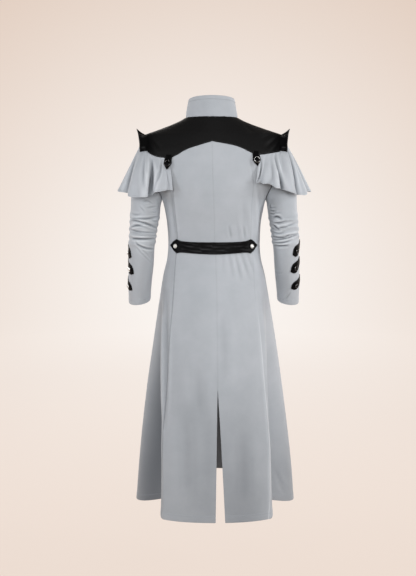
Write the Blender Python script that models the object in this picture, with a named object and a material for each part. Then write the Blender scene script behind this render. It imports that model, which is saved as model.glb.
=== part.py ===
"""Long coat with a stand collar, a dark yoke with peaked shoulder wings, short shoulder capes and a back vent.

The coat keeps the hollow form that it has on a wearer. Metres, +Z up, front towards -Y, wearer's left at +X.
The origin is the middle of the neck seam, where the wearer's neck and shoulders hold the coat.
"""

import math

import bpy
import numpy as np

# Cloth and seams
CLOTH = 0.0016
CAPE_CLOTH = 0.0012
STRAP_HIDE = 0.0020
COLLAR_CLOTH = 0.0026
SEAM_GAP = 0.0003
ROUND = 2 * math.pi

# Lengths from the neck seam, which is at height 0
SHOULDER_Z = -0.056
ARMPIT_Z = -0.268
WAIST_Z = -0.413
HEM_Z = -1.274
HEM_RISE = 0.056
HEM_CURVE = 2.3
HEM_LIFT_IN_FOLDS = 0.33
HEM_RISE_STARTS = -0.70
NECK_DROP = 0.040
NECK_DROP_ENDS = -0.110
VENT_TOP_Z = -0.862

# Level sections of the coat, from the neck to the hem
SECTION_COLUMNS = ("height", "half_width", "back", "front", "square", "shift")
SECTIONS = (
    (0.000, 0.0845, 0.074, 0.062, 0.00, 0.0075),
    (-0.011, 0.1040, 0.083, 0.068, -0.02, 0.0070),
    (-0.024, 0.1350, 0.091, 0.074, -0.04, 0.0055),
    (-0.037, 0.1700, 0.098, 0.080, -0.05, 0.0040),
    (-0.047, 0.2000, 0.103, 0.085, -0.05, 0.0030),
    (-0.056, 0.2220, 0.107, 0.089, -0.04, 0.0025),
    (-0.085, 0.2390, 0.117, 0.101, -0.02, 0.0020),
    (-0.113, 0.2450, 0.123, 0.110, 0.00, 0.0015),
    (-0.167, 0.2340, 0.129, 0.122, 0.02, 0.0010),
    (-0.220, 0.2010, 0.129, 0.130, 0.03, 0.0005),
    (-0.268, 0.1690, 0.124, 0.130, 0.03, 0.0000),
    (-0.294, 0.1620, 0.120, 0.128, 0.03, 0.0000),
    (-0.350, 0.1540, 0.108, 0.120, 0.03, 0.0000),
    (-0.413, 0.1505, 0.100, 0.112, 0.03, 0.0000),
    (-0.450, 0.1530, 0.105, 0.113, 0.03, 0.0000),
    (-0.520, 0.1695, 0.125, 0.122, 0.02, 0.0000),
    (-0.600, 0.1850, 0.148, 0.134, 0.02, 0.0000),
    (-0.710, 0.2035, 0.172, 0.148, 0.02, -0.0005),
    (-0.830, 0.2197, 0.194, 0.162, 0.02, -0.0010),
    (-0.950, 0.2338, 0.215, 0.176, 0.02, -0.0020),
    (-1.070, 0.2470, 0.234, 0.190, 0.03, -0.0030),
    (-1.180, 0.2570, 0.249, 0.202, 0.03, -0.0035),
    (-1.280, 0.2640, 0.259, 0.211, 0.03, -0.0035),
)

# How far each lengthwise seam stands from the middle plane, by height
SEAM_COLUMNS = ("height", "middle_back", "left_princess", "right_princess")
SEAMS = (
    (-0.075, 0.007, 0.1440, 0.1330),
    (-0.131, 0.006, 0.1440, 0.1330),
    (-0.184, 0.005, 0.1400, 0.1280),
    (-0.233, 0.003, 0.1320, 0.1240),
    (-0.291, 0.001, 0.1260, 0.1200),
    (-0.413, -0.002, 0.1180, 0.1180),
    (-0.450, -0.004, 0.1230, 0.1250),
    (-0.572, -0.008, 0.1310, 0.1320),
    (-0.655, -0.009, 0.1375, 0.1430),
    (-0.720, -0.010, 0.1430, 0.1500),
    (-0.877, -0.0115, 0.1540, 0.1620),
    (-1.034, -0.015, 0.1640, 0.1760),
    (-1.187, -0.018, 0.1680, 0.1770),
    (-1.275, -0.0195, 0.1660, 0.1710),
)
SIDE_SEAM_TURN = math.radians(96)
VENT_WIDTH_AT_HEM = 0.030

# Lower edge of the yoke: share of the way from the middle to the armhole, and the heights there
YOKE_COLUMNS = ("share", "back_left", "back_right", "front")
YOKE_EDGE = (
    (0.00, -0.0817, -0.0817, -0.092),
    (0.30, -0.1045, -0.0963, -0.108),
    (0.58, -0.1350, -0.1250, -0.126),
    (0.75, -0.1315, -0.1205, -0.124),
    (0.90, -0.1225, -0.1155, -0.118),
    (1.00, -0.1130, -0.1130, -0.113),
)
YOKE_CORNER_Z = -0.113
LOW_POINT_SHARE = 0.58

# Armhole, seen from the side
ARMHOLE_HALF_DEPTH = 0.068

# Folds of the skirt. turn is counted from the middle back, in degrees, + to the wearer's left.
FOLD_COLUMNS = ("top_height", "full_height", "turn_at_top", "turn_at_hem", "width", "depth", "ridge_share")
FOLDS = (
    (-0.46, -1.10, 57, 34.5, 54, -0.090, 0.38),
    (-0.46, -1.15, -52, -37.5, 50, -0.078, 0.38),
    (-0.55, -1.20, 112, 111.0, 28, -0.024, 0.50),
    (-0.55, -1.20, -114, -112.0, 30, -0.026, 0.50),
    (-0.50, -1.20, 137, 138.0, 26, -0.024, 0.50),
    (-0.50, -1.20, -139, -140.0, 24, -0.022, 0.50),
    (-0.60, -1.20, 160, 161.0, 18, -0.012, 0.50),
    (-0.60, -1.20, -161, -162.0, 18, -0.013, 0.50),
)

# Sleeve, along the arm: underarm and outer edge in the plane of the shoulders, then depth
SLEEVE_COLUMNS = ("reach", "in_x", "in_z", "out_x", "out_z", "middle_y", "half_depth")
SLEEVE = (
    (0.00, 0.1690, -0.2680, 0.2220, -0.0560, 0.000, 0.0680),
    (0.06, 0.1722, -0.2745, 0.2395, -0.0950, 0.000, 0.0680),
    (0.12, 0.1738, -0.2805, 0.2570, -0.1350, 0.000, 0.0665),
    (0.19, 0.1748, -0.2870, 0.2675, -0.1820, 0.001, 0.0645),
    (0.27, 0.1760, -0.2960, 0.2710, -0.2350, 0.003, 0.0620),
    (0.35, 0.1776, -0.3120, 0.2725, -0.2880, 0.006, 0.0600),
    (0.46, 0.1870, -0.3620, 0.2760, -0.3560, 0.010, 0.0565),
    (0.58, 0.1950, -0.4200, 0.2798, -0.4220, 0.008, 0.0530),
    (0.72, 0.2000, -0.4860, 0.2825, -0.4920, -0.006, 0.0480),
    (0.86, 0.2070, -0.5460, 0.2850, -0.5540, -0.024, 0.0430),
    (1.00, 0.2130, -0.6000, 0.2840, -0.6090, -0.042, 0.0395),
)
ELBOW_FOLD_COLUMNS = ("reach", "half_length", "depth", "slant")
ELBOW_FOLDS = (
    (0.395, 0.018, 0.0026, 0.020),
    (0.433, 0.017, 0.0036, -0.018),
    (0.472, 0.017, 0.0042, -0.020),
    (0.511, 0.017, 0.0040, -0.012),
    (0.550, 0.017, 0.0030, 0.008),
)

# Shoulder cape: share round the arm from back to front, then the halfway line and the hem
CAPE_COLUMNS = ("share", "mid_x", "mid_y", "mid_z", "hem_x", "hem_y", "hem_z_left", "hem_z_right")
CAPE = (
    (0.00, 0.1370, 0.1145, -0.182, 0.1330, 0.117, -0.2370, -0.2160),
    (0.12, 0.1680, 0.1160, -0.180, 0.1640, 0.124, -0.2400, -0.2175),
    (0.16, 0.1845, 0.1115, -0.178, 0.1820, 0.127, -0.2455, -0.2235),
    (0.21, 0.2050, 0.1040, -0.176, 0.2040, 0.128, -0.2600, -0.2335),
    (0.30, 0.2360, 0.0860, -0.168, 0.2470, 0.110, -0.2600, -0.2450),
    (0.36, 0.2530, 0.0660, -0.160, 0.2740, 0.090, -0.2550, -0.2545),
    (0.50, 0.2690, 0.0000, -0.146, 0.3140, 0.000, -0.2345, -0.2405),
    (0.64, 0.2530, -0.0680, -0.160, 0.2740, -0.090, -0.2500, -0.2500),
    (0.79, 0.2050, -0.1070, -0.176, 0.2040, -0.130, -0.2520, -0.2480),
    (0.88, 0.1680, -0.1180, -0.180, 0.1640, -0.130, -0.2460, -0.2420),
    (1.00, 0.1360, -0.1240, -0.182, 0.1310, -0.126, -0.2370, -0.2350),
)
CAPE_WAVE_COLUMNS = ("share", "depth", "half_width")
CAPE_WAVES = {
    1: (
        (0.060, 0.008, 0.052), (0.190, 0.021, 0.060), (0.300, 0.004, 0.050), (0.395, 0.017, 0.052),
        (0.500, 0.012, 0.052), (0.600, 0.016, 0.056), (0.710, 0.014, 0.055), (0.820, 0.016, 0.056),
        (0.930, 0.010, 0.052),
    ),
    -1: (
        (0.050, 0.012, 0.050), (0.148, 0.011, 0.047), (0.237, 0.019, 0.052), (0.350, 0.019, 0.056),
        (0.460, 0.012, 0.054), (0.560, 0.015, 0.052), (0.672, 0.016, 0.058), (0.790, 0.015, 0.058),
        (0.910, 0.011, 0.056),
    ),
}
CAPE_STANDS_OFF = 0.0004
CAPE_OVER_ARM = 0.0035
CAPE_ARM_REACH = 0.050
CAPE_CORNERS = (0.21, 0.79)
CAPE_TOP_DROP = 0.0014

# Shoulder wing: its outer edge, measured from the armhole, by steps of the armhole's points from the shoulder
WING_COLUMNS = ("step", "reach", "rise", "flare")
WING = (
    (0, 0.0275, 0.0195, 0.000),
    (1, 0.0240, 0.0075, 0.002),
    (2, 0.0250, 0.0020, 0.004),
    (3, 0.0245, -0.0020, 0.006),
    (4, 0.0215, -0.0045, 0.008),
)
WING_CURVE = 1.6
WING_END_STEP = 3.88

# Collar
COLLAR_HEIGHT = 0.067
COLLAR_LEAN = 0.0100
COLLAR_FRONT_DROP = 0.020
COLLAR_FRONT_GAP = math.radians(3)
COLLAR_CORNER = math.radians(14)
COLLAR_CORNER_DROP = 0.012
COLLAR_COLUMNS = 34

# Front lap
LAP_WIDTH = 0.024
LAP_RAMP = 0.035
LAP_LIFT = CLOTH + SEAM_GAP + 0.0006
LAP_FLAT = LAP_WIDTH + 0.005
LAP_LINES = (LAP_FLAT + LAP_RAMP, LAP_FLAT + LAP_RAMP / 2, LAP_FLAT, 0.0, -LAP_WIDTH)
FRONT_BUTTON_COLUMNS = ("height", "off")
FRONT_BUTTONS = (
    (-0.155, 0.0004), (-0.235, 0.0004), (-0.315, 0.0005), (-0.395, 0.0009), (-0.475, 0.0009), (-0.555, 0.0007),
)

# Straps, along their length: share of the length and share of the half width
HEAD_COLUMNS = ("along", "width")
BELT_OUTLINE = (
    (0.000, 0.02), (0.045, 0.62), (0.088, 1.00), (0.120, 0.87), (0.150, 0.81), (0.200, 0.79), (0.280, 0.80),
    (0.390, 0.83), (0.500, 0.85), (0.610, 0.83), (0.720, 0.80), (0.800, 0.79), (0.850, 0.81), (0.880, 0.87),
    (0.912, 1.00), (0.955, 0.62), (1.000, 0.02),
)
TAB_OUTLINE = ((0.00, 0.80), (0.18, 0.82), (0.40, 0.92), (0.60, 1.00), (0.80, 0.56), (1.00, 0.04))
TAB_BUTTON_SHARE = 0.60
CUFF_TAB_OUTLINE = (
    (0.00, 0.66), (0.14, 0.68), (0.28, 0.72), (0.42, 0.82), (0.56, 0.93), (0.71, 1.00), (0.87, 0.74), (1.00, 0.10),
)
BELT_ENDS = (-0.1355, 0.1380)
BELT_OFF = 0.0012
BELT_HALF_WIDTH = 0.0235
BELT_END_Z = -0.4140
BELT_SAG = 0.0085
BELT_BUTTON_SHARE = 0.080
CAPE_TAB_LENGTH = 0.048
CAPE_TAB_ON_YOKE = {1: 0.0110, -1: 0.0115}
CAPE_TAB_SHARE = {1: 0.58, -1: 0.545}
CAPE_TAB_HALF_WIDTH = 0.0138
CAPE_TAB_OFF_COLUMNS = ("along", "off")
CAPE_TAB_OFF = ((0.00, 0.0003), (0.18, 0.0030), (0.40, 0.0069), (0.60, 0.0100), (0.80, 0.0135), (1.00, 0.0166))
CUFF_TAB_LENGTH = 0.070
CUFF_TAB_HALF_WIDTH = 0.0150
CUFF_TAB_SLANT = math.radians(27)
CUFF_TAB_REACH = {1: (0.636, 0.737, 0.866), -1: (0.620, 0.724, 0.851)}
CUFF_TAB_TIP_CLOCK = {1: (44, 60, 54), -1: (66, 77, 78)}
CUFF_TAB_OFF = 0.0011
STRAP_OVER_FOLDS = 0.0024
CUFF_BUTTON_SHARE = 0.67
METRES_PER_REACH = 0.45

# Buttons
BUTTON_RADIUS = 0.0072
CAPE_BUTTON_RADIUS = 0.0102
FRONT_BUTTON_RADIUS = 0.0095
BUTTON_SIDES = 12
BUTTON_COLUMNS = ("radius", "height")
BUTTON_PROFILE = ((0.62, 0.0), (1.00, 0.0012), (0.92, 0.0034), (0.72, 0.0026))

# Mesh density
MIDDLE_COLUMNS = 7
SIDE_COLUMNS = 11
FRONT_COLUMNS = 9
YOKE_DROPS = (0.0, 0.12, 0.42, 0.70, 1.0)
YOKE_TOP_HEIGHTS = (0.0, -0.016, -0.033, -0.047)
ARMHOLE_STEPS = 5
SLEEVE_REACHES = (
    0, 0.06, 0.13, 0.22, 0.31, 0.375, 0.405, 0.430, 0.452, 0.474, 0.496, 0.518, 0.540, 0.5625,
    0.590, 0.640, 0.730, 0.820, 0.910, 1.0,
)
CAPE_AROUND = 46
CAPE_DOWN = 6
WING_STEPS = 16

COLOURS = {
    "grey_twill": ((0.42, 0.44, 0.46, 1), 0.75, 0.0),
    "black_hide": ((0.010, 0.010, 0.011, 1), 0.45, 0.0),
    "nickel": ((0.78, 0.78, 0.76, 1), 0.25, 1.0),
}


def clear_scene():
    for item in list(bpy.data.objects):
        bpy.data.objects.remove(item)


def material(name):
    found = bpy.data.materials.get(name)
    if found:
        return found
    colour, rough, metal = COLOURS[name]
    made = bpy.data.materials.new(name)
    made.use_nodes = True
    shader = made.node_tree.nodes["Principled BSDF"]
    shader.inputs["Base Color"].default_value = colour
    shader.inputs["Roughness"].default_value = rough
    shader.inputs["Metallic"].default_value = metal
    made.diffuse_color = colour
    return made


def smooth(x, xs, ys):
    """Curve through the points (xs, ys) that never overshoots them, read at x."""
    xs = np.asarray(xs, float)
    ys = np.asarray(ys, float)
    if xs[0] > xs[-1]:
        xs = xs[::-1]
        ys = ys[::-1]
    step = np.diff(xs)
    rise = np.diff(ys) / step
    slope = np.zeros(len(xs))
    slope[0] = rise[0]
    slope[-1] = rise[-1]
    both = rise[:-1] * rise[1:] > 0
    weight = (2 * step[1:] + step[:-1], step[1:] + 2 * step[:-1])
    with np.errstate(divide="ignore", invalid="ignore"):
        mean = (weight[0] + weight[1]) / (weight[0] / rise[:-1] + weight[1] / rise[1:])
    slope[1:-1] = np.where(both, mean, 0.0)
    x = np.clip(np.asarray(x, float), xs[0], xs[-1])
    at = np.clip(np.searchsorted(xs, x, side="right") - 1, 0, len(step) - 1)
    h = step[at]
    t = (x - xs[at]) / h
    return (
        ys[at] * (1 + 2 * t) * (1 - t) ** 2
        + h * slope[at] * t * (1 - t) ** 2
        + ys[at + 1] * t**2 * (3 - 2 * t)
        + h * slope[at + 1] * t**2 * (t - 1)
    )


def ease(t):
    """0 to 1 with level ends."""
    t = np.clip(t, 0.0, 1.0)
    return t * t * (3 - 2 * t)


def table(rows, columns):
    return {name: np.array([row[i] for row in rows], float) for i, name in enumerate(columns)}


SECTION = table(SECTIONS, SECTION_COLUMNS)
SEAM = table(SEAMS, SEAM_COLUMNS)
YOKE = table(YOKE_EDGE, YOKE_COLUMNS)
FOLD_ROWS = [dict(zip(FOLD_COLUMNS, row)) for row in FOLDS]
ARM = table(SLEEVE, SLEEVE_COLUMNS)
CAPE_LINES = table(CAPE, CAPE_COLUMNS)


def section(name, z):
    return smooth(z, SECTION["height"], SECTION[name])


def unit(v):
    return v / np.maximum(np.linalg.norm(v, axis=-1, keepdims=True), 1e-12)


def level_ring(turn, z):
    """Point of the plain section at height z. turn is 0 at the middle back and + to the wearer's left."""
    q = section("square", z)
    depth = np.where(np.cos(turn) > 0, section("back", z), section("front", z))
    x = section("half_width", z) * (np.sin(turn) + q * np.sin(3 * turn)) / (1 - q)
    y = depth * (np.cos(turn) - q * np.cos(3 * turn)) / (1 - q)
    return x + section("shift", z), y


def fold_push(turn, z):
    """Sum of the folds: each starts at its ridge, drops to full depth and comes back over its width."""
    degrees = np.degrees(turn)
    total = np.zeros(np.broadcast(turn, z).shape)
    for fold in FOLD_ROWS:
        down = ease((fold["top_height"] - z) / (fold["top_height"] - fold["full_height"]))
        side = math.copysign(1, fold["turn_at_hem"])
        way = ease((fold["top_height"] - z) / (fold["top_height"] - HEM_Z))
        ridge = fold["turn_at_top"] + (fold["turn_at_hem"] - fold["turn_at_top"]) * way
        from_ridge = (degrees - ridge) * side / fold["width"]
        if fold["ridge_share"] == 0.5:
            from_ridge = from_ridge + 0.5
        share = fold["ridge_share"]
        shape = ease(from_ridge / share) * (1 - ease((from_ridge - share) / (1 - share)))
        total = total + fold["depth"] * down * shape
    return total


def coat(turn, z):
    """Outer face of the coat's cloth at a turn and a nominal height."""
    turn, z = np.broadcast_arrays(np.asarray(turn, float), np.asarray(z, float))
    x, y = level_ring(turn, z)
    way = unit(np.stack([np.sin(turn) / section("half_width", z), np.cos(turn) / 0.2], -1))
    push = fold_push(turn, z)
    low = ease((HEM_RISE_STARTS - z) / (HEM_RISE_STARTS - HEM_Z))
    high = ease((z - NECK_DROP_ENDS) / -NECK_DROP_ENDS)
    front = np.maximum(0.0, -np.cos(turn)) ** 1.5
    rise = HEM_RISE * ((1 - np.cos(turn)) / 2) ** HEM_CURVE - HEM_LIFT_IN_FOLDS * push
    lift = rise * low - NECK_DROP * high * front
    return np.stack([x + way[..., 0] * push, y + way[..., 1] * push, z + lift], -1)


def coat_normal(turn, z):
    along = coat(turn + 0.012, z) - coat(turn - 0.012, z)
    down = coat(turn, z - 0.004) - coat(turn, np.minimum(z + 0.004, 0.0))
    return unit(np.cross(along, down))


def turn_at_x(x, z, front=False):
    """Turn of the plain section at distance x from the middle plane, from a fine table of turns."""
    turns = np.linspace(-math.pi / 2, math.pi / 2, 361)
    out = []
    for one_x, one_z in zip(np.ravel(x), np.ravel(z)):
        xs, _ = level_ring(turns, np.full_like(turns, one_z))
        out.append(np.interp(one_x, xs, turns))
    found = np.reshape(out, np.shape(x))
    return np.sign(found) * math.pi - found if front else found


def armhole_y(z):
    middle = (SHOULDER_Z + ARMPIT_Z) / 2
    half = (SHOULDER_Z - ARMPIT_Z) / 2
    return ARMHOLE_HALF_DEPTH * np.sqrt(np.clip(1 - ((z - middle) / half) ** 2, 0, 1))


def armhole_turn(z, front):
    """Turn, taken as positive, where the section is as deep as the armhole's edge."""
    quarter = np.linspace(math.pi / 2, math.pi if front else 0, 241)
    out = []
    for one in np.ravel(z):
        _, ys = level_ring(quarter, np.full_like(quarter, one))
        out.append(np.interp(armhole_y(one), np.abs(ys), quarter))
    return np.reshape(out, np.shape(z))


def yoke_heights():
    """Heights of the yoke's rows at the armhole, from the shoulder to the yoke's corner."""
    return SHOULDER_Z + (YOKE_CORNER_Z - SHOULDER_Z) * np.array(YOKE_DROPS)


def armhole_heights():
    """Heights of the rows below the yoke at the armhole, evenly round its curve down to the armpit."""
    middle = (SHOULDER_Z + ARMPIT_Z) / 2
    half = (SHOULDER_Z - ARMPIT_Z) / 2
    first = math.acos((YOKE_CORNER_Z - middle) / half)
    return middle + half * np.cos(np.linspace(first, math.pi, ARMHOLE_STEPS + 1))


def skirt_heights():
    """Rows from the armpit to the hem, closer at the waist."""
    upper = np.array([-0.305, -0.345, -0.375, -0.398, -0.420, -0.442, -0.470])
    return np.concatenate([[ARMPIT_Z], upper, np.linspace(-0.515, HEM_Z, 12)])


def yoke_edge(share, side, front):
    name = "front" if front else ("back_left" if side > 0 else "back_right")
    return smooth(share, YOKE["share"], YOKE[name])


def closed(points, wraps, name, slot):
    """Object from two grids of points, outer then inner, joined round their rims."""
    outer, inner = points
    rows, columns = outer.shape[:2]
    index = np.arange(rows * columns).reshape(rows, columns)
    right = np.roll(index, -1, 1)
    cells = (index, right) if wraps else (index[:, :-1], right[:, :-1])
    a, b = cells[0][:-1], cells[1][:-1]
    d, c = cells[0][1:], cells[1][1:]
    flat = outer.reshape(-1, 3)
    short = np.linalg.norm(flat[a] - flat[c], axis=-1) <= np.linalg.norm(flat[b] - flat[d], axis=-1)
    one = np.where(short[..., None], np.stack([a, b, c], -1), np.stack([a, b, d], -1))
    two = np.where(short[..., None], np.stack([a, c, d], -1), np.stack([b, c, d], -1))
    skin = np.concatenate([one.reshape(-1, 3), two.reshape(-1, 3)])
    count = rows * columns
    faces = [skin, skin[:, ::-1] + count]
    if wraps:
        rims = [index[0], index[-1][::-1]]
        rims = [np.append(rim, rim[0]) for rim in rims]
    else:
        edge = np.concatenate([index[0, :-1], index[:-1, -1], index[-1, :0:-1], index[:0:-1, 0]])
        rims = [np.append(edge, edge[0])]
    for rim in rims:
        start, end = rim[:-1], rim[1:]
        faces.append(np.stack([end, start, start + count], -1))
        faces.append(np.stack([end, start + count, end + count], -1))
    faces = np.concatenate(faces)
    every = np.concatenate([flat, inner.reshape(-1, 3)])
    corner = every[faces]
    volume = np.einsum("ij,ij->i", corner[:, 0], np.cross(corner[:, 1], corner[:, 2])).sum()
    if volume < 0:
        faces = faces[:, ::-1]
    return add(name, every, faces, slot)


def add(name, points, faces, slot):
    mesh = bpy.data.meshes.new(name)
    mesh.from_pydata([tuple(p) for p in points], [], [tuple(int(i) for i in f) for f in faces])
    mesh.shade_smooth()
    mesh.set_sharp_from_angle(angle=math.radians(50))
    mesh.materials.append(material(slot))
    made = bpy.data.objects.new(name, mesh)
    bpy.context.scene.collection.objects.link(made)
    return made


def trimmed(turn, z):
    """Turns with the first and last column drawn in by half a seam gap."""
    turn = turn.copy()
    for column, inward in ((0, 1), (-1, -1)):
        edge = turn[:, column]
        way = np.sign(turn[:, column + inward] - edge)
        pace = np.linalg.norm(coat(edge + 0.005, z[:, column]) - coat(edge - 0.005, z[:, column]), axis=-1)
        turn[:, column] = edge + way * (SEAM_GAP / 2) / np.maximum(pace / 0.01, 1e-4)
    return turn


def panel(name, turn, z, slot="grey_twill", lift=0.0):
    turn = trimmed(turn, z)
    outward = coat_normal(turn, z)
    level = unit(outward * np.array([1, 1, 0]))
    face = coat(turn, z) + level * np.asarray(lift)[..., None]
    return closed((face, face - outward * CLOTH), False, name, slot)


def share_grid(shares, first, last):
    """Turns from one seam to the next, a row for each height."""
    return first[:, None] + (last - first)[:, None] * shares[None, :]


def cut_rows(edge_z):
    """Heights of a panel's rows for columns whose upper edges are at edge_z, down to the hem."""
    upper = armhole_heights()
    part = (upper - ARMPIT_Z) / (upper[0] - ARMPIT_Z)
    top = ARMPIT_Z + (edge_z - ARMPIT_Z)[None, :] * part[:, None]
    top[0] -= SEAM_GAP / 2
    below = skirt_heights()[1:]
    return np.concatenate([top, np.repeat(below[:, None], len(edge_z), 1)]), np.concatenate([upper, below])


def corner_turn(front):
    return float(armhole_turn(np.array([YOKE_CORNER_Z]), front)[0])


def middle_shares():
    return np.linspace(0, 1, MIDDLE_COLUMNS + 1)


def side_shares():
    """Columns of the side panel, closer to the princess seam, where its fold is."""
    return np.linspace(0, 1, SIDE_COLUMNS + 1) ** 1.25


def princess_turn(side, rows):
    name = "left_princess" if side > 0 else "right_princess"
    x = smooth(rows, SEAM["height"], SEAM[name]) * side
    turn = turn_at_x(x, rows)
    top = side * LOW_POINT_SHARE * corner_turn(False)
    near_top = ease((rows + 0.19) / 0.05)
    return turn * (1 - near_top) + top * near_top


def middle_turn(side, rows):
    """Middle back seam, which opens into the vent."""
    x = smooth(rows, SEAM["height"], SEAM["middle_back"])
    opens = np.clip((VENT_TOP_Z - rows) / (VENT_TOP_Z - HEM_Z), 0, 1) ** 0.9
    return turn_at_x(x + side * opens * VENT_WIDTH_AT_HEM / 2, rows)


def middle_back(side, name):
    shares = middle_shares()
    edge_z = yoke_edge(shares * LOW_POINT_SHARE, side, False)
    z, rows = cut_rows(edge_z)
    turn = share_grid(shares, middle_turn(side, z[:, 0]), princess_turn(side, z[:, -1]))
    return panel(name, turn, z)


def side_back(side, name):
    shares = side_shares()
    edge_z = yoke_edge(LOW_POINT_SHARE + shares * (1 - LOW_POINT_SHARE), side, False)
    z, rows = cut_rows(edge_z)
    upper = ARMHOLE_STEPS + 1
    last = np.full(len(rows), side * SIDE_SEAM_TURN)
    last[:upper] = side * armhole_turn(rows[:upper], False)
    last[upper - 1] = side * math.pi / 2
    blend = ease((rows[upper:] - ARMPIT_Z) / (WAIST_Z - ARMPIT_Z))
    last[upper:] = side * (math.pi / 2 + (SIDE_SEAM_TURN - math.pi / 2) * blend)
    turn = share_grid(shares, princess_turn(side, z[:, 0]), last)
    return panel(name, turn, z)


def front_turns(side, first, z):
    """Columns of a front: even from the side to the lap's ramp, then at set distances from the middle."""
    lap = side * (math.pi - np.arcsin(np.array(LAP_LINES)[None, :] / section("half_width", z)[:, None]))
    return np.concatenate([share_grid(np.linspace(0, 1, FRONT_COLUMNS + 1)[:-1], first, lap[:, 0]), lap], 1)


def lap_lift(turn, side):
    """The wearer's left front lies over the right one: lift of each column."""
    lift = np.zeros(turn.shape)
    if side > 0:
        lift[:, -4] = LAP_LIFT / 2
        lift[:, -3:] = LAP_LIFT
    return lift


def front_shares():
    return np.linspace(0, 1, FRONT_COLUMNS + len(LAP_LINES))


def front(side, name):
    shares = front_shares()
    edge_z = yoke_edge(1 - shares, side, True)
    z, rows = cut_rows(edge_z)
    upper = ARMHOLE_STEPS + 1
    first = np.full(len(rows), side * SIDE_SEAM_TURN)
    first[:upper] = side * armhole_turn(rows[:upper], True)
    first[upper - 1] = side * math.pi / 2
    blend = ease((rows[upper:] - ARMPIT_Z) / (WAIST_Z - ARMPIT_Z))
    first[upper:] = side * (math.pi / 2 + (SIDE_SEAM_TURN - math.pi / 2) * blend)
    turn = front_turns(side, first, rows)
    return panel(name, turn, z, lift=lap_lift(turn, side))


def yoke_rows(edge_z):
    """Heights of a yoke's rows from the neck to its lower edge, and the same at the armhole."""
    drop = np.array(YOKE_DROPS)
    low = SHOULDER_Z + (edge_z - SHOULDER_Z)[None, :] * drop[:, None]
    low[-1] += SEAM_GAP / 2
    top = np.repeat(np.array(YOKE_TOP_HEIGHTS)[:, None], len(edge_z), 1)
    return np.concatenate([top, low])


def yoke_ends(front):
    """Turn of the shoulder seam and then of the armhole's edge, a value for each row."""
    upper = np.full(len(YOKE_TOP_HEIGHTS), math.pi / 2)
    return np.concatenate([upper, armhole_turn(yoke_heights(), front)])


def half_back_shares():
    """Columns of a half back at the yoke's lower edge: those of the middle panel, then of the side one."""
    middle = middle_shares() * LOW_POINT_SHARE
    side = LOW_POINT_SHARE + side_shares() * (1 - LOW_POINT_SHARE)
    return np.concatenate([middle, side[1:]])


def yoke_back(name):
    left = half_back_shares()
    z_left = yoke_rows(yoke_edge(left, 1, False))
    z_right = yoke_rows(yoke_edge(left, -1, False))
    z = np.concatenate([z_right[:, :0:-1], z_left], 1)
    shares = np.concatenate([-left[:0:-1], left])
    middle = middle_turn(1, z_left[:, 0])
    turn = shares[None, :] * yoke_ends(False)[:, None]
    turn = turn + middle[:, None] * np.maximum(0, 1 - np.abs(shares) / LOW_POINT_SHARE)[None, :]
    return panel(name, turn, z, "black_hide")


def yoke_front(side, name):
    shares = front_shares()
    z = yoke_rows(yoke_edge(1 - shares, side, True))
    rows = np.concatenate([YOKE_TOP_HEIGHTS, yoke_heights()])
    turn = front_turns(side, side * yoke_ends(True), rows)
    return panel(name, turn, z, "black_hide", lap_lift(turn, side))


def armhole_ring(side):
    """Armhole, in the frame of the left arm: shoulder, down the back, armpit, up the front; and its normals."""
    down = np.concatenate([yoke_heights(), armhole_heights()[1:]])
    back = armhole_turn(down, False)
    ahead = armhole_turn(down, True)
    back[0] = math.pi / 2
    back[-1] = math.pi / 2
    turn = side * np.concatenate([back, ahead[-2:0:-1]])
    z = np.concatenate([down, down[-2:0:-1]])
    return mirrored(coat(turn, z), side), mirrored(coat_normal(turn, z), side)


def arm_frame(reach):
    """Centre, up axis, outward axis and half sizes of the sleeve's ring at a reach."""
    inner = np.stack([smooth(reach, ARM["reach"], ARM["in_x"]), smooth(reach, ARM["reach"], ARM["in_z"])], -1)
    outer = np.stack([smooth(reach, ARM["reach"], ARM["out_x"]), smooth(reach, ARM["reach"], ARM["out_z"])], -1)
    middle = (inner + outer) / 2
    y = smooth(reach, ARM["reach"], ARM["middle_y"])
    centre = np.stack([middle[..., 0], y, middle[..., 1]], -1)
    span = outer - inner
    size = np.linalg.norm(span, axis=-1)
    up = np.stack([span[..., 0] / size, np.zeros_like(size), span[..., 1] / size], -1)
    return centre, up, size / 2, smooth(reach, ARM["reach"], ARM["half_depth"])


def elbow_push(reach, clock):
    """Soft rings of spare cloth above and below the elbow, slanted round the arm."""
    total = np.zeros(np.broadcast(reach, clock).shape)
    for at, half, depth, slant in ELBOW_FOLDS:
        centre = at + slant * np.sin(clock)
        near = (reach - centre) / half
        total = total + depth * np.exp(-(near**2) * 1.4)
    return total - 0.0012 * ease((reach - 0.36) / 0.08) * (1 - ease((reach - 0.50) / 0.06))


def forward_lean(reach):
    """Tilt of the rings about the X axis as the arm bends ahead, in metres of drop for each metre back."""
    return 0.26 * ease((reach - 0.5) / 0.3)


def sleeve_points(reach, clock, folded=True):
    """Outer face of the wearer's left sleeve. clock is 0 at the outer edge and grows towards the back."""
    reach, clock = np.broadcast_arrays(np.asarray(reach, float), np.asarray(clock, float))
    centre, up, half, depth = arm_frame(reach)
    swell = elbow_push(reach, clock) if folded else STRAP_OVER_FOLDS * ease((0.60 - reach) / 0.06)
    u = np.cos(clock) * (half + swell)
    v = np.sin(clock) * (depth + swell)
    point = centre + up * u[..., None]
    point[..., 1] += v
    point[..., 2] -= v * forward_lean(reach)
    return point


def ring_clocks(ring):
    """Clock of each armhole point on the sleeve's first ring."""
    centre, up, half, depth = arm_frame(np.array(0.0))
    off = ring - centre
    return np.unwrap(np.arctan2(off[:, 1] / depth, off @ up / half))


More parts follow.
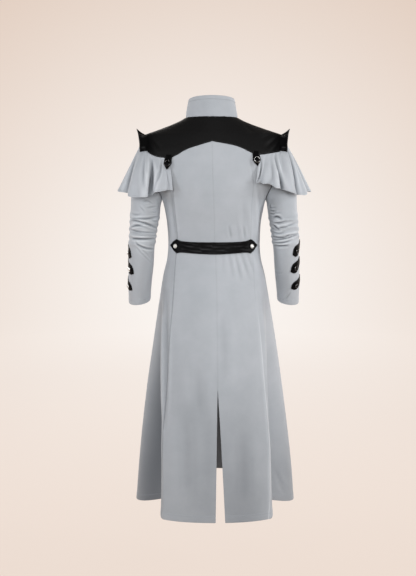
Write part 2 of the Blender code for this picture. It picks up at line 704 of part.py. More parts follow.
def sleeve_at(ring, reach, index):
    """Sleeve's outer face at a reach and a place in the armhole's points, which may lie between two of them.

    The first ring is the armhole itself; down to reach 0.23 its shape fades into even ovals.
    """
    reach, index = np.broadcast_arrays(np.asarray(reach, float), np.asarray(index, float))
    count = len(ring)
    clock = ring_clocks(ring)
    stray = ring - sleeve_points(np.zeros(count), clock)
    steps = np.arange(-count, 2 * count + 1)
    own_clock = np.concatenate([clock - ROUND, clock, clock + ROUND, clock[:1] + 2 * ROUND])
    fade = 1 - ease(reach / 0.23)
    mixed = index * ROUND / count * (1 - fade) + np.interp(index, steps, own_clock) * fade
    points = sleeve_points(reach, mixed)
    for axis in range(3):
        line = np.concatenate([stray[:, axis]] * 3 + [stray[:1, axis]])
        points[..., axis] += np.interp(index, steps, line) * fade
    _, up, _, _ = arm_frame(np.array(0.0))
    outward = np.array([up[2], 0, -up[0]])
    return points + outward * (SEAM_GAP * 1.5 * fade)[..., None]


def tube_normals(points):
    around = np.roll(points, -1, 1) - np.roll(points, 1, 1)
    along = np.gradient(points, axis=0)
    return unit(np.cross(around, along))


def mirrored(points, side):
    return points * np.array([side, 1, 1])


def sleeve(side, name):
    """Tube from the armhole to the cuff. Its first ring is as thick as the panels that it meets there."""
    ring, ring_normal = armhole_ring(side)
    points = sleeve_at(ring, np.array(SLEEVE_REACHES)[:, None], np.arange(len(ring))[None, :])
    outward = -tube_normals(points)
    alike = ease((outward[0] * ring_normal).sum(-1, keepdims=True) / 0.4)
    outward[0] = unit(ring_normal * alike + outward[0] * (1 - alike))
    inner = points - outward * CLOTH
    return closed((mirrored(points, side), mirrored(inner, side)), True, name, "grey_twill")


def ring_between(values, index):
    """Armhole points or normals at a place between two of them."""
    count = len(values)
    steps = np.arange(-count, 2 * count)
    return np.stack([np.interp(index, steps, np.tile(values[:, axis], 3)) for axis in range(3)], -1)


def wing(side, name):
    """Peaked wing on the top half of the armhole."""
    ring, normal = armhole_ring(side)
    rows = table(WING, WING_COLUMNS)
    index = np.linspace(WING_END_STEP, -WING_END_STEP, WING_STEPS + 1)
    step = np.abs(index)
    base = ring_between(ring, index)
    lift = unit(ring_between(normal, index))
    reach = smooth(step, rows["step"], rows["reach"])
    rise = smooth(step, rows["step"], rows["rise"])
    flare = smooth(step, rows["step"], rows["flare"]) * np.sign(index)
    base = base + lift * 0.0006 + np.array([0.0008, 0, 0])
    share = np.array([0.0, 0.35, 0.7, 1.0])[:, None]
    face = np.stack(
        [
            base[:, 0] + reach * share,
            base[:, 1] + flare * share**WING_CURVE,
            base[:, 2] + rise * share**WING_CURVE,
        ],
        -1,
    )
    upward = unit(np.cross(np.gradient(face, axis=1), np.gradient(face, axis=0)))
    upward = np.where((upward * lift[None]).sum(-1, keepdims=True) < 0, -upward, upward)
    top = face + upward * CLOTH
    return closed((mirrored(top, side), mirrored(face, side)), False, name, "black_hide")


def cape_top(side, share):
    """Top line of a cape, in the frame of the left arm: under the yoke's edge, then round the sleeve's head."""
    ring, normal = armhole_ring(side)
    first, last = CAPE_CORNERS
    points = np.zeros((len(share), 3))
    for i, one in enumerate(share):
        if first <= one <= last:
            across = (one - first) / (last - first)
            index = 4 - 8 * across
            reach = CAPE_ARM_REACH * (1 - (2 * across - 1) ** 2)
            on_arm = sleeve_at(ring, reach, index)
            centre, _, _, _ = arm_frame(np.array(reach))
            blend = reach / CAPE_ARM_REACH
            away = unit(ring_between(normal, np.array(index)) * (1 - blend) + unit(on_arm - centre) * blend)
            off = CAPE_STANDS_OFF + (CAPE_OVER_ARM - CAPE_STANDS_OFF) * math.sqrt(blend)
            points[i] = on_arm + away * (off + CAPE_CLOTH)
        else:
            front = one > last
            on_yoke = (1 - one) / (1 - last) if front else one / first
            on_yoke = LOW_POINT_SHARE + (1 - LOW_POINT_SHARE) * on_yoke
            turn = side * on_yoke * corner_turn(False)
            if front:
                turn = side * (math.pi - on_yoke * (math.pi - corner_turn(True)))
            z = yoke_edge(np.array(on_yoke), side, front)
            away = coat_normal(turn, z)
            points[i] = mirrored(coat(turn, z) + away * (CAPE_STANDS_OFF + CAPE_CLOTH), side)
    points[:, 2] -= CAPE_TOP_DROP
    return points


def cape_waves(side, share):
    """Hollows of the hem by their place round the arm, as a share of the way in from the plain hem line."""
    total = np.zeros_like(share)
    for row in CAPE_WAVES[side]:
        wave = dict(zip(CAPE_WAVE_COLUMNS, row))
        near = np.clip(np.abs(share - wave["share"]) / wave["half_width"], 0, 1)
        total = total + wave["depth"] * (1 + np.cos(math.pi * near)) / 2
    return total


def cape_face(side, share, down):
    """Outer face of a cape, in the frame of the left arm: a bent sheet through the top, halfway and hem lines."""
    top = cape_top(side, share)
    lines = {key: smooth(share, CAPE_LINES["share"], CAPE_LINES[key]) for key in CAPE_COLUMNS[1:]}
    middle = np.stack([lines["mid_x"], lines["mid_y"], lines["mid_z"]], -1)
    hem_z = lines["hem_z_left"] if side > 0 else lines["hem_z_right"]
    hem = np.stack([lines["hem_x"], lines["hem_y"], hem_z], -1)
    t = np.asarray(down)[:, None, None]
    sheet = top * (1 - t) * (1 - 2 * t) + middle * 4 * t * (1 - t) + hem * t * (2 * t - 1)
    along = np.gradient(hem, axis=0)
    away = unit(np.stack([along[:, 1], -along[:, 0], np.zeros(len(share))], -1))
    away = np.where((away * (hem - np.array([0.18, 0, 0]))).sum(-1, keepdims=True) < 0, -away, away)
    depth = cape_waves(side, share)[None, :, None] * t**1.2
    sheet = sheet + away[None] * (0.007 * t**1.2 - depth)
    sheet[..., 2] += depth[..., 0] * 0.25
    return sheet


def sheet_normals(face, outward_hint):
    normal = unit(np.cross(np.gradient(face, axis=1), np.gradient(face, axis=0)))
    return normal * np.sign((normal * outward_hint).sum())


def cape(side, name):
    share = np.linspace(0, 1, CAPE_AROUND + 1)
    face = cape_face(side, share, np.linspace(0, 1, CAPE_DOWN))
    normal = sheet_normals(face, face - np.array([0.18, 0, -0.2]))
    inner = face - normal * CAPE_CLOTH
    return closed((mirrored(face, side), mirrored(inner, side)), False, name, "grey_twill")


def collar(name):
    """Stand collar on the neck seam, open at the middle front, with rounded front corners."""
    turn = np.linspace(-math.pi + COLLAR_FRONT_GAP, math.pi - COLLAR_FRONT_GAP, COLLAR_COLUMNS)
    foot = coat(turn, np.zeros_like(turn))
    away = unit(np.stack([np.sin(turn) / 0.0845, np.cos(turn) / 0.068, np.zeros_like(turn)], -1))
    height = COLLAR_HEIGHT - COLLAR_FRONT_DROP * (1 - np.cos(turn)) / 2
    to_end = (math.pi - COLLAR_FRONT_GAP - np.abs(turn)) / COLLAR_CORNER
    height = height - COLLAR_CORNER_DROP * (1 - np.sqrt(np.clip(1 - (1 - np.minimum(to_end, 1)) ** 2, 0, 1)))
    share = np.array([0.0, 0.5, 1.0])[:, None, None]
    face = foot[None] + np.array([0, 0, 1]) * share * height[None, :, None]
    face = face - away[None] * COLLAR_LEAN * share**1.3
    face[..., 2] += SEAM_GAP * (1 + 2 * (1 - np.cos(turn)))[None]
    inner = face - away[None] * COLLAR_CLOTH
    return closed((face, inner), False, name, "grey_twill")


def strap_grid(outline, half_width, across):
    """Lengthwise shares and crosswise offsets of a strap's points."""
    rows = np.array(outline)
    return rows[:, 0][:, None], rows[:, 1][:, None] * half_width * np.array(across)[None, :]


def belt_point(along, offset):
    """Turn and height on the coat of a place on the belt: share of the length, and metres above its middle."""
    x = BELT_ENDS[0] + (BELT_ENDS[1] - BELT_ENDS[0]) * along
    middle = (along - 0.5) * 2
    z = BELT_END_Z - BELT_SAG * (1 - middle**2) + offset
    turn = np.arcsin(np.clip(x / section("half_width", z), -1, 1))
    return turn, z


def on_coat(turn, z, off):
    return coat(turn, z) + coat_normal(turn, z) * off


def belt(name):
    along, offset = strap_grid(BELT_OUTLINE, BELT_HALF_WIDTH, (-1, 0, 1))
    turn, z = belt_point(*np.broadcast_arrays(along, offset))
    inner = on_coat(turn, z, BELT_OFF)
    return closed((on_coat(turn, z, BELT_OFF + STRAP_HIDE), inner), False, name, "black_hide")


def cape_tab_frame(side):
    """Top of a cape tab, a little above the yoke's low point, its way across and its level way out."""
    share = CAPE_TAB_SHARE[side]
    turn = side * share * corner_turn(False)
    z = yoke_edge(np.array(share), side, False) + CAPE_TAB_ON_YOKE[side]
    level = unit(coat_normal(turn, z) * np.array([1, 1, 0]))
    return coat(turn, z), np.array([level[1], -level[0], 0.0]), level


def cape_tab_off(along):
    """The tab lies on the yoke at its top and then hangs over the cape."""
    rows = table(CAPE_TAB_OFF, CAPE_TAB_OFF_COLUMNS)
    return np.interp(along, rows["along"], rows["off"])


def cape_tab(side, name):
    foot, across, level = cape_tab_frame(side)
    along, offset = strap_grid(TAB_OUTLINE, CAPE_TAB_HALF_WIDTH, (-1, 0, 1))
    down = np.array([0, 0, -CAPE_TAB_LENGTH])
    inner = foot + down * along[..., None] + across * offset[..., None] + level * cape_tab_off(along)[..., None]
    return closed((inner + level * STRAP_HIDE, inner), False, name, "black_hide")


def cuff_tab_point(side, which, along, offset):
    """Place in the armhole's points and reach on the sleeve of a spot on a cuff tab."""
    tip = math.radians(CUFF_TAB_TIP_CLOCK[side][which])
    back = (1 - along) * CUFF_TAB_LENGTH
    around = back * math.cos(CUFF_TAB_SLANT) + offset * math.sin(CUFF_TAB_SLANT)
    up = back * math.sin(CUFF_TAB_SLANT) - offset * math.cos(CUFF_TAB_SLANT)
    reach = CUFF_TAB_REACH[side][which] - up / METRES_PER_REACH
    radius = smooth(reach, ARM["reach"], ARM["half_depth"])
    return tip - around / radius, reach


def sleeve_spot(clock, reach, off):
    """Point off the sleeve's plain oval, and the way out there."""
    point = sleeve_points(reach, clock, False)
    around = sleeve_points(reach, clock + 0.02, False) - sleeve_points(reach, clock - 0.02, False)
    along = sleeve_points(reach + 0.004, clock, False) - sleeve_points(reach - 0.004, clock, False)
    out = -unit(np.cross(around, along))
    centre, _, _, _ = arm_frame(reach)
    out = out * np.sign((out * (point - centre)).sum(-1, keepdims=True))
    return point + out * off, out


def cuff_tab(side, which, name):
    along, offset = strap_grid(CUFF_TAB_OUTLINE, CUFF_TAB_HALF_WIDTH, (-1, -0.4, 0.4, 1))
    clock, reach = cuff_tab_point(side, which, *np.broadcast_arrays(along, offset))
    inner, out = sleeve_spot(clock, reach, CUFF_TAB_OFF)
    return closed((mirrored(inner + out * STRAP_HIDE, side), mirrored(inner, side)), False, name, "black_hide")


def button(name, centre, out, radius):
    """Turned disc with a raised rim. centre lies on its back."""
    out = unit(np.asarray(out, float))
    first = unit(np.cross(out, np.array([0.3, 0.2, 1.0])))
    second = np.cross(out, first)
    angle = np.linspace(0, ROUND, BUTTON_SIDES, endpoint=False)
    circle = first[None] * np.cos(angle)[:, None] + second[None] * np.sin(angle)[:, None]
    rings = [centre + circle * r * radius + out * h for r, h in BUTTON_PROFILE]
    points = np.concatenate([np.array([centre]), *rings, np.array([centre + out * BUTTON_PROFILE[-1][1]])])
    faces = []
    last = len(points) - 1
    for i in range(BUTTON_SIDES):
        j = (i + 1) % BUTTON_SIDES
        faces.append((0, 1 + j, 1 + i))
        for k in range(len(rings) - 1):
            a, b = 1 + k * BUTTON_SIDES + i, 1 + k * BUTTON_SIDES + j
            faces.append((a, b, b + BUTTON_SIDES))
            faces.append((a, b + BUTTON_SIDES, a + BUTTON_SIDES))
        top = 1 + (len(rings) - 1) * BUTTON_SIDES
        faces.append((top + i, top + j, last))
    return add(name, points, faces, "nickel")


def buttons():
    stack = BELT_OFF + STRAP_HIDE + SEAM_GAP
    for share, word in ((1 - BELT_BUTTON_SHARE, "left"), (BELT_BUTTON_SHARE, "right")):
        turn, z = belt_point(np.array(share), np.array(0.0))
        button(f"belt_button_{word}", on_coat(turn, z, stack), coat_normal(turn, z), BUTTON_RADIUS)
    for side, word in ((1, "left"), (-1, "right")):
        foot, _, level = cape_tab_frame(side)
        spot = np.array([TAB_BUTTON_SHARE, TAB_BUTTON_SHARE + 0.1])
        spine = foot + np.array([0, 0, -CAPE_TAB_LENGTH]) * spot[:, None] + level * cape_tab_off(spot)[:, None]
        fall = unit(spine[1] - spine[0])
        out = unit(level - fall * (fall @ level))
        centre = spine[0] + out * (STRAP_HIDE + SEAM_GAP)
        button(f"cape_tab_button_{word}", centre, out, CAPE_BUTTON_RADIUS)
        for which in range(3):
            clock, reach = cuff_tab_point(side, which, np.array(CUFF_BUTTON_SHARE), np.array(0.0))
            centre, out = sleeve_spot(clock, reach, CUFF_TAB_OFF + STRAP_HIDE + SEAM_GAP)
            name = f"cuff_button_{word}_{which + 1}"
            button(name, mirrored(centre, side), mirrored(out, side), BUTTON_RADIUS)
    for i, (z, off) in enumerate(FRONT_BUTTONS):
        turn = np.array(math.pi)
        centre = on_coat(turn, np.array(z), LAP_LIFT + off)
        button(f"front_button_{i + 1}", centre, coat_normal(turn, np.array(z)), FRONT_BUTTON_RADIUS)


def main():
    clear_scene()
    for side, word in ((1, "left"), (-1, "right")):
        middle_back(side, f"back_{word}")
        side_back(side, f"side_back_{word}")
        front(side, f"front_{word}")
        yoke_front(side, f"yoke_front_{word}")
        sleeve(side, f"sleeve_{word}")
        wing(side, f"wing_{word}")
        cape(side, f"cape_{word}")
        cape_tab(side, f"cape_tab_{word}")
        for which in range(3):
            cuff_tab(side, which, f"cuff_tab_{word}_{which + 1}")
    yoke_back("yoke_back")
    collar("collar")
    belt("back_belt")
    buttons()


main()
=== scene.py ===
"""Long grey coat: stand collar, black yoke with shoulder wings, shoulder capes, half-belt and back vent.

The coat keeps the hollow form that it has on a wearer. Each cloth piece is a thin closed shell on a fine grid
of the coat's own surfaces. Creases, pressed seams, hems and stitch lines move its points in and out.
Metres, +Z up, front towards -Y, wearer's left at +X. The origin is the middle of the neck seam.
"""

import math

import bpy
import numpy as np
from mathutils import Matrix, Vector


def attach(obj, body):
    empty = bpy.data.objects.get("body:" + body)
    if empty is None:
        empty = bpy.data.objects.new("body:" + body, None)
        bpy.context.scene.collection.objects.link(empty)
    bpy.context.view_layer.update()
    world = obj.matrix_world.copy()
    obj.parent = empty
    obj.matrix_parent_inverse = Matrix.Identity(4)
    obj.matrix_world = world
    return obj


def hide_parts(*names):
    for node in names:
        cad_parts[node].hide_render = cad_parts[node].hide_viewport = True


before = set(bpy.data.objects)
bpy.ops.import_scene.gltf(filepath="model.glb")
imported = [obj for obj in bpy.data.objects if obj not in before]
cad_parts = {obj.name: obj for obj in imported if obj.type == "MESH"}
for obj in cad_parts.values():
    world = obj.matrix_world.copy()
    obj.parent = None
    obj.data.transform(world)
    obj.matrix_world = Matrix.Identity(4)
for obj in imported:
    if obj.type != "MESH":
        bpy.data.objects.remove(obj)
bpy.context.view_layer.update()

# Cloth and seams
CLOTH = 0.0016
CAPE_CLOTH = 0.0012
STRAP_HIDE = 0.0020
COLLAR_CLOTH = 0.0026
SEAM_GAP = 0.0003
ROUND = 2 * math.pi

# A side is 1 for the wearer's left and -1 for the right
WORD = {1: "left", -1: "right"}

# Lengths from the neck seam, which is at height 0
SHOULDER_Z = -0.056
ARMPIT_Z = -0.268
WAIST_Z = -0.413
HEM_Z = -1.274
HEM_RISE = 0.056
HEM_CURVE = 2.3
HEM_LIFT_IN_FOLDS = 0.33
HEM_RISE_STARTS = -0.70
NECK_DROP = 0.040
NECK_DROP_ENDS = -0.110
NECK_DROP_CURVE = 1.5
VENT_TOP_Z = -0.862

# Level sections of the coat, from the neck to the hem
SECTION_COLUMNS = ("height", "half_width", "back", "front", "square", "shift")
SECTIONS = (
    (0.000, 0.0845, 0.074, 0.062, 0.00, 0.0075),
    (-0.011, 0.1040, 0.083, 0.068, -0.02, 0.0070),
    (-0.024, 0.1350, 0.091, 0.074, -0.04, 0.0055),
    (-0.037, 0.1700, 0.098, 0.080, -0.05, 0.0040),
    (-0.047, 0.2000, 0.103, 0.085, -0.05, 0.0030),
    (-0.056, 0.2220, 0.107, 0.089, -0.04, 0.0025),
    (-0.085, 0.2390, 0.117, 0.101, -0.02, 0.0020),
    (-0.113, 0.2450, 0.123, 0.110, 0.00, 0.0015),
    (-0.167, 0.2340, 0.129, 0.122, 0.02, 0.0010),
    (-0.220, 0.2010, 0.129, 0.130, 0.03, 0.0005),
    (-0.268, 0.1690, 0.124, 0.130, 0.03, 0.0000),
    (-0.294, 0.1620, 0.120, 0.128, 0.03, 0.0000),
    (-0.350, 0.1540, 0.108, 0.120, 0.03, 0.0000),
    (-0.413, 0.1505, 0.100, 0.112, 0.03, 0.0000),
    (-0.450, 0.1530, 0.105, 0.113, 0.03, 0.0000),
    (-0.520, 0.1695, 0.125, 0.122, 0.02, 0.0000),
    (-0.600, 0.1850, 0.148, 0.134, 0.02, 0.0000),
    (-0.710, 0.2035, 0.172, 0.148, 0.02, -0.0005),
    (-0.830, 0.2197, 0.194, 0.162, 0.02, -0.0010),
    (-0.950, 0.2338, 0.215, 0.176, 0.02, -0.0020),
    (-1.070, 0.2470, 0.234, 0.190, 0.03, -0.0030),
    (-1.180, 0.2570, 0.249, 0.202, 0.03, -0.0035),
    (-1.280, 0.2640, 0.259, 0.211, 0.03, -0.0035),
)

# How far each lengthwise seam stands from the middle plane, by height
SEAM_COLUMNS = ("height", "middle_back", "left_princess", "right_princess")
SEAMS = (
    (-0.075, 0.007, 0.1440, 0.1330),
    (-0.131, 0.006, 0.1440, 0.1330),
    (-0.184, 0.005, 0.1400, 0.1280),
    (-0.233, 0.003, 0.1320, 0.1240),
    (-0.291, 0.001, 0.1260, 0.1200),
    (-0.413, -0.002, 0.1180, 0.1180),
    (-0.450, -0.004, 0.1230, 0.1250),
    (-0.572, -0.008, 0.1310, 0.1320),
    (-0.655, -0.009, 0.1375, 0.1430),
    (-0.720, -0.010, 0.1430, 0.1500),
    (-0.877, -0.0115, 0.1540, 0.1620),
    (-1.034, -0.015, 0.1640, 0.1760),
    (-1.187, -0.018, 0.1680, 0.1770),
    (-1.275, -0.0195, 0.1660, 0.1710),
)
SIDE_SEAM_TURN = math.radians(96)
VENT_WIDTH_AT_HEM = 0.030
VENT_CURVE = 0.9
PRINCESS_MEETS_YOKE_Z = -0.19
PRINCESS_BLEND = 0.05
SIDE_BACK_CURVE = 1.15

# Lower edge of the yoke: share of the way from the middle to the armhole, and the heights there
YOKE_COLUMNS = ("share", "back_left", "back_right", "front")
YOKE_EDGE = (
    (0.00, -0.0817, -0.0817, -0.092),
    (0.30, -0.1045, -0.0963, -0.108),
    (0.58, -0.1350, -0.1250, -0.126),
    (0.75, -0.1315, -0.1205, -0.124),
    (0.90, -0.1225, -0.1155, -0.118),
    (1.00, -0.1130, -0.1130, -0.113),
)
YOKE_CORNER_Z = -0.113
LOW_POINT_SHARE = 0.58

# Armhole: an oval from the shoulder to the armpit
ARMHOLE_HALF_DEPTH = 0.068
ARMHOLE_MIDDLE_Z = (SHOULDER_Z + ARMPIT_Z) / 2
ARMHOLE_HALF_HEIGHT = (SHOULDER_Z - ARMPIT_Z) / 2
ARMHOLE_PER_RADIAN = 0.098
ARMHOLE_COUNT = 18

# Folds of the skirt. A turn is counted from the middle back, in degrees, + to the wearer's left. A fold with
# its ridge share at one half is even, and its turn is its middle.
FOLD_COLUMNS = ("top_height", "full_height", "turn_at_top", "turn_at_hem", "width", "depth", "ridge_share")
EVEN_SHARE = 0.5
FOLD_WAY_DEPTH = 0.2
FOLDS = (
    (-0.46, -1.10, 57, 34.5, 54, -0.090, 0.38),
    (-0.46, -1.15, -52, -37.5, 50, -0.078, 0.38),
    (-0.55, -1.20, 112, 111.0, 28, -0.024, 0.50),
    (-0.55, -1.20, -114, -112.0, 30, -0.026, 0.50),
    (-0.50, -1.20, 137, 138.0, 26, -0.024, 0.50),
    (-0.50, -1.20, -139, -140.0, 24, -0.022, 0.50),
    (-0.60, -1.20, 160, 161.0, 18, -0.012, 0.50),
    (-0.60, -1.20, -161, -162.0, 18, -0.013, 0.50),
)

# Sleeve, along the arm: underarm and outer edge in the plane of the shoulders, then depth.
# Reach is the share of the way from the armhole to the cuff.
SLEEVE_COLUMNS = ("reach", "in_x", "in_z", "out_x", "out_z", "middle_y", "half_depth")
SLEEVE = (
    (0.00, 0.1690, -0.2680, 0.2220, -0.0560, 0.000, 0.0680),
    (0.06, 0.1722, -0.2745, 0.2395, -0.0950, 0.000, 0.0680),
    (0.12, 0.1738, -0.2805, 0.2570, -0.1350, 0.000, 0.0665),
    (0.19, 0.1748, -0.2870, 0.2675, -0.1820, 0.001, 0.0645),
    (0.27, 0.1760, -0.2960, 0.2710, -0.2350, 0.003, 0.0620),
    (0.35, 0.1776, -0.3120, 0.2725, -0.2880, 0.006, 0.0600),
    (0.46, 0.1870, -0.3620, 0.2760, -0.3560, 0.010, 0.0565),
    (0.58, 0.1950, -0.4200, 0.2798, -0.4220, 0.008, 0.0530),
    (0.72, 0.2000, -0.4860, 0.2825, -0.4920, -0.006, 0.0480),
    (0.86, 0.2070, -0.5460, 0.2850, -0.5540, -0.024, 0.0430),
    (1.00, 0.2130, -0.6000, 0.2840, -0.6090, -0.042, 0.0395),
)
SLEEVE_EVEN_REACH = 0.23
FOREARM_LEAN = 0.26
FOREARM_LEAN_STARTS = 0.5
FOREARM_LEAN_REACH = 0.3
METRES_PER_REACH = 0.45
ARM_RADIUS = 0.052
UNDERARM_RADIUS = 0.045

# Soft rings of spare cloth at the elbow: reach, half length, depth and slant
ELBOW_FOLDS = (
    (0.395, 0.018, 0.0026, 0.020),
    (0.433, 0.017, 0.0036, -0.018),
    (0.472, 0.017, 0.0042, -0.020),
    (0.511, 0.017, 0.0040, -0.012),
    (0.550, 0.017, 0.0030, 0.008),
)
ELBOW_KEEN = 1.4
ELBOW_DIP = 0.0012
ELBOW_DIP_STARTS = (0.36, 0.08)
ELBOW_DIP_ENDS = (0.50, 0.06)

# Shoulder cape: share round the arm from back to front, then the halfway line and the hem
CAPE_COLUMNS = ("share", "mid_x", "mid_y", "mid_z", "hem_x", "hem_y", "hem_z_left", "hem_z_right")
CAPE = (
    (0.00, 0.1370, 0.1145, -0.182, 0.1330, 0.117, -0.2370, -0.2160),
    (0.12, 0.1680, 0.1160, -0.180, 0.1640, 0.124, -0.2400, -0.2175),
    (0.16, 0.1845, 0.1115, -0.178, 0.1820, 0.127, -0.2455, -0.2235),
    (0.21, 0.2050, 0.1040, -0.176, 0.2040, 0.128, -0.2600, -0.2335),
    (0.30, 0.2360, 0.0860, -0.168, 0.2470, 0.110, -0.2600, -0.2450),
    (0.36, 0.2530, 0.0660, -0.160, 0.2740, 0.090, -0.2550, -0.2545),
    (0.50, 0.2690, 0.0000, -0.146, 0.3140, 0.000, -0.2345, -0.2405),
    (0.64, 0.2530, -0.0680, -0.160, 0.2740, -0.090, -0.2500, -0.2500),
    (0.79, 0.2050, -0.1070, -0.176, 0.2040, -0.130, -0.2520, -0.2480),
    (0.88, 0.1680, -0.1180, -0.180, 0.1640, -0.130, -0.2460, -0.2420),
    (1.00, 0.1360, -0.1240, -0.182, 0.1310, -0.126, -0.2370, -0.2350),
)

# Waves of a cape's hem: share round the arm, depth and half width
CAPE_WAVES = {
    1: (
        (0.060, 0.008, 0.052), (0.190, 0.021, 0.060), (0.300, 0.004, 0.050), (0.395, 0.017, 0.052),
        (0.500, 0.012, 0.052), (0.600, 0.016, 0.056), (0.710, 0.014, 0.055), (0.820, 0.016, 0.056),
        (0.930, 0.010, 0.052),
    ),
    -1: (
        (0.050, 0.012, 0.050), (0.148, 0.011, 0.047), (0.237, 0.019, 0.052), (0.350, 0.019, 0.056),
        (0.460, 0.012, 0.054), (0.560, 0.015, 0.052), (0.672, 0.016, 0.058), (0.790, 0.015, 0.058),
        (0.910, 0.011, 0.056),
    ),
}
CAPE_STANDS_OFF = 0.0004
CAPE_OVER_ARM = 0.0035
CAPE_ARM_REACH = 0.050
CAPE_CORNERS = (0.21, 0.79)
CAPE_CORNER_INDEX = 4
CAPE_TOP_DROP = 0.0014
CAPE_MIDDLE_X = 0.18
CAPE_MIDDLE_Z = -0.2
CAPE_BULGE = 0.007
CAPE_WAVE_CURVE = 1.2
CAPE_WAVE_LIFT = 0.25
CAPE_TURN_UP = 0.007
CAPE_STITCH_IN = 0.0055
CAPE_HEM_THICKER = 0.0004
CAPE_GATHER = 0.0005
CAPE_GATHER_DROP = 0.020

# Shoulder wing: its outer edge, measured from the armhole, by steps of the armhole's points from the shoulder
WING_COLUMNS = ("step", "reach", "rise", "flare")
WING = (
    (0, 0.0275, 0.0195, 0.000),
    (1, 0.0240, 0.0075, 0.002),
    (2, 0.0250, 0.0020, 0.004),
    (3, 0.0245, -0.0020, 0.006),
    (4, 0.0215, -0.0045, 0.008),
)
WING_CURVE = 1.6
WING_END_STEP = 3.88
WING_STANDS_OFF = 0.0009
WING_OUT = 0.0008
WING_TUCK = 0.14
WING_GATHER = 0.0013
WING_FOOT_PRESS = 0.0007

# Collar
COLLAR_HEIGHT = 0.067
COLLAR_LEAN = 0.0100
COLLAR_FRONT_DROP = 0.020
COLLAR_FRONT_GAP = math.radians(3)
COLLAR_CORNER = math.radians(14)
COLLAR_CORNER_DROP = 0.012
COLLAR_LEAN_CURVE = 1.3
COLLAR_TUCK = 0.0010
COLLAR_STITCH_IN = 0.0125
COLLAR_EDGE = 0.0011
COLLAR_EDGE_DROP = 0.0008
COLLAR_INNER_ROUND = 0.0005
COLLAR_FACING = (0.012, 0.0004, 0.002)
COLLAR_WAVE = 0.0006
NECK_HALF_WIDTH = 0.0845
NECK_DEPTH = 0.068

# Front lap
LAP_WIDTH = 0.024
LAP_RAMP = 0.035
LAP_LIFT = CLOTH + SEAM_GAP + 0.0006
LAP_FLAT = LAP_WIDTH + 0.005
LAP_STITCH_IN = 0.006

# Front buttons: height, and how far each stands off the lap
FRONT_BUTTONS = (
    (-0.155, 0.0004), (-0.235, 0.0004), (-0.315, 0.0005),
    (-0.395, 0.0009), (-0.475, 0.0009), (-0.555, 0.0007),
)

# Straps, along their length: share of the length and share of the half width
BELT_OUTLINE = (
    (0.000, 0.02), (0.045, 0.62), (0.088, 1.00), (0.120, 0.87), (0.150, 0.81), (0.200, 0.79), (0.280, 0.80),
    (0.390, 0.83), (0.500, 0.85), (0.610, 0.83), (0.720, 0.80), (0.800, 0.79), (0.850, 0.81), (0.880, 0.87),
    (0.912, 1.00), (0.955, 0.62), (1.000, 0.02),
)
TAB_OUTLINE = ((0.00, 0.80), (0.18, 0.82), (0.40, 0.92), (0.60, 1.00), (0.80, 0.56), (1.00, 0.04))
TAB_BUTTON_SHARE = 0.60
CUFF_TAB_OUTLINE = (
    (0.00, 0.66), (0.14, 0.68), (0.28, 0.72), (0.42, 0.82),
    (0.56, 0.93), (0.71, 1.00), (0.87, 0.74), (1.00, 0.10),
)
BELT_ENDS = (-0.1355, 0.1380)
BELT_LENGTH = BELT_ENDS[1] - BELT_ENDS[0]
BELT_OFF = 0.0012
BELT_STEP = 0.0022
BELT_HALF_WIDTH = 0.0235
BELT_END_Z = -0.4140
BELT_SAG = 0.0085
BELT_BUTTON_SHARE = 0.080
CAPE_TAB_LENGTH = 0.048
CAPE_TAB_STEP = 0.0015
CAPE_TAB_ON_YOKE = {1: 0.0110, -1: 0.0115}
CAPE_TAB_SHARE = {1: 0.58, -1: 0.545}
CAPE_TAB_HALF_WIDTH = 0.0138
CAPE_TAB_OFF = (
    (0.00, 0.0003), (0.18, 0.0030), (0.40, 0.0069), (0.60, 0.0100), (0.80, 0.0135), (1.00, 0.0166),
)
CUFF_TAB_LENGTH = 0.070
CUFF_TAB_STEP = 0.0020
CUFF_TAB_HALF_WIDTH = 0.0150
CUFF_TAB_SLANT = math.radians(27)
CUFF_TAB_REACH = {1: (0.636, 0.737, 0.866), -1: (0.620, 0.724, 0.851)}
CUFF_TAB_TIP_CLOCK = {1: (44, 60, 54), -1: (66, 77, 78)}
CUFF_TAB_OFF = 0.0011
CUFF_TAB_HUG = 0.0010
CUFF_TAB_HUG_SHARE = 0.25
CUFF_TAB_HIDE = 0.0016
CUFF_BUTTON_SHARE = 0.67

# Under the cuff tabs the sleeve is even, and stands out as far as its elbow folds do above them
STRAP_OVER_FOLDS = 0.0024
STRAP_OVER_FOLDS_ENDS = (0.60, 0.06)

# Surface of the straps: how far their edges drop, the groove for the edge stitches, the rumples, and the
# painted highlight on their edges and on their creases' ridges
STRAP_EDGE_DROP = 0.0007
STRAP_EDGE = 0.0012
STRAP_GROOVE = 0.0004
STRAP_GROOVE_IN = 0.0032
STRAP_GROOVE_HALF = 0.0010
STRAP_RUMPLE = 0.00030
STRAP_KEEN = 0.5
STRAP_EDGE_HIGHLIGHT = (0.25, 0.0009)
STRAP_RIDGE_HIGHLIGHT = (0.24, 0.00008, 0.00035)

BUTTON_RADIUS = 0.0072
CAPE_BUTTON_RADIUS = 0.0102
FRONT_BUTTON_RADIUS = 0.0095
BUTTON_SIDES = 40

# Profile of a button: share of the radius and height in metres, from its back over the bead and the hollow to
# the dome, then the share inside which its face lies in the hollow, and the height over which it is a face
BUTTON_PROFILE = (
    (0.00, 0.0000), (0.62, 0.0000), (0.86, 0.0004), (0.98, 0.0010), (1.00, 0.0018), (0.97, 0.0027),
    (0.90, 0.0031), (0.82, 0.0027), (0.76, 0.0023), (0.70, 0.0027), (0.60, 0.0034), (0.45, 0.0040),
    (0.25, 0.0044), (0.00, 0.0046),
)
BUTTON_INSIDE_RIM = 0.88
BUTTON_FACE_Z = 0.002
# Share of the face's darkening, tarnish with painted dark reflection, on the dome's top point
DOME_DARKENING = 0.8

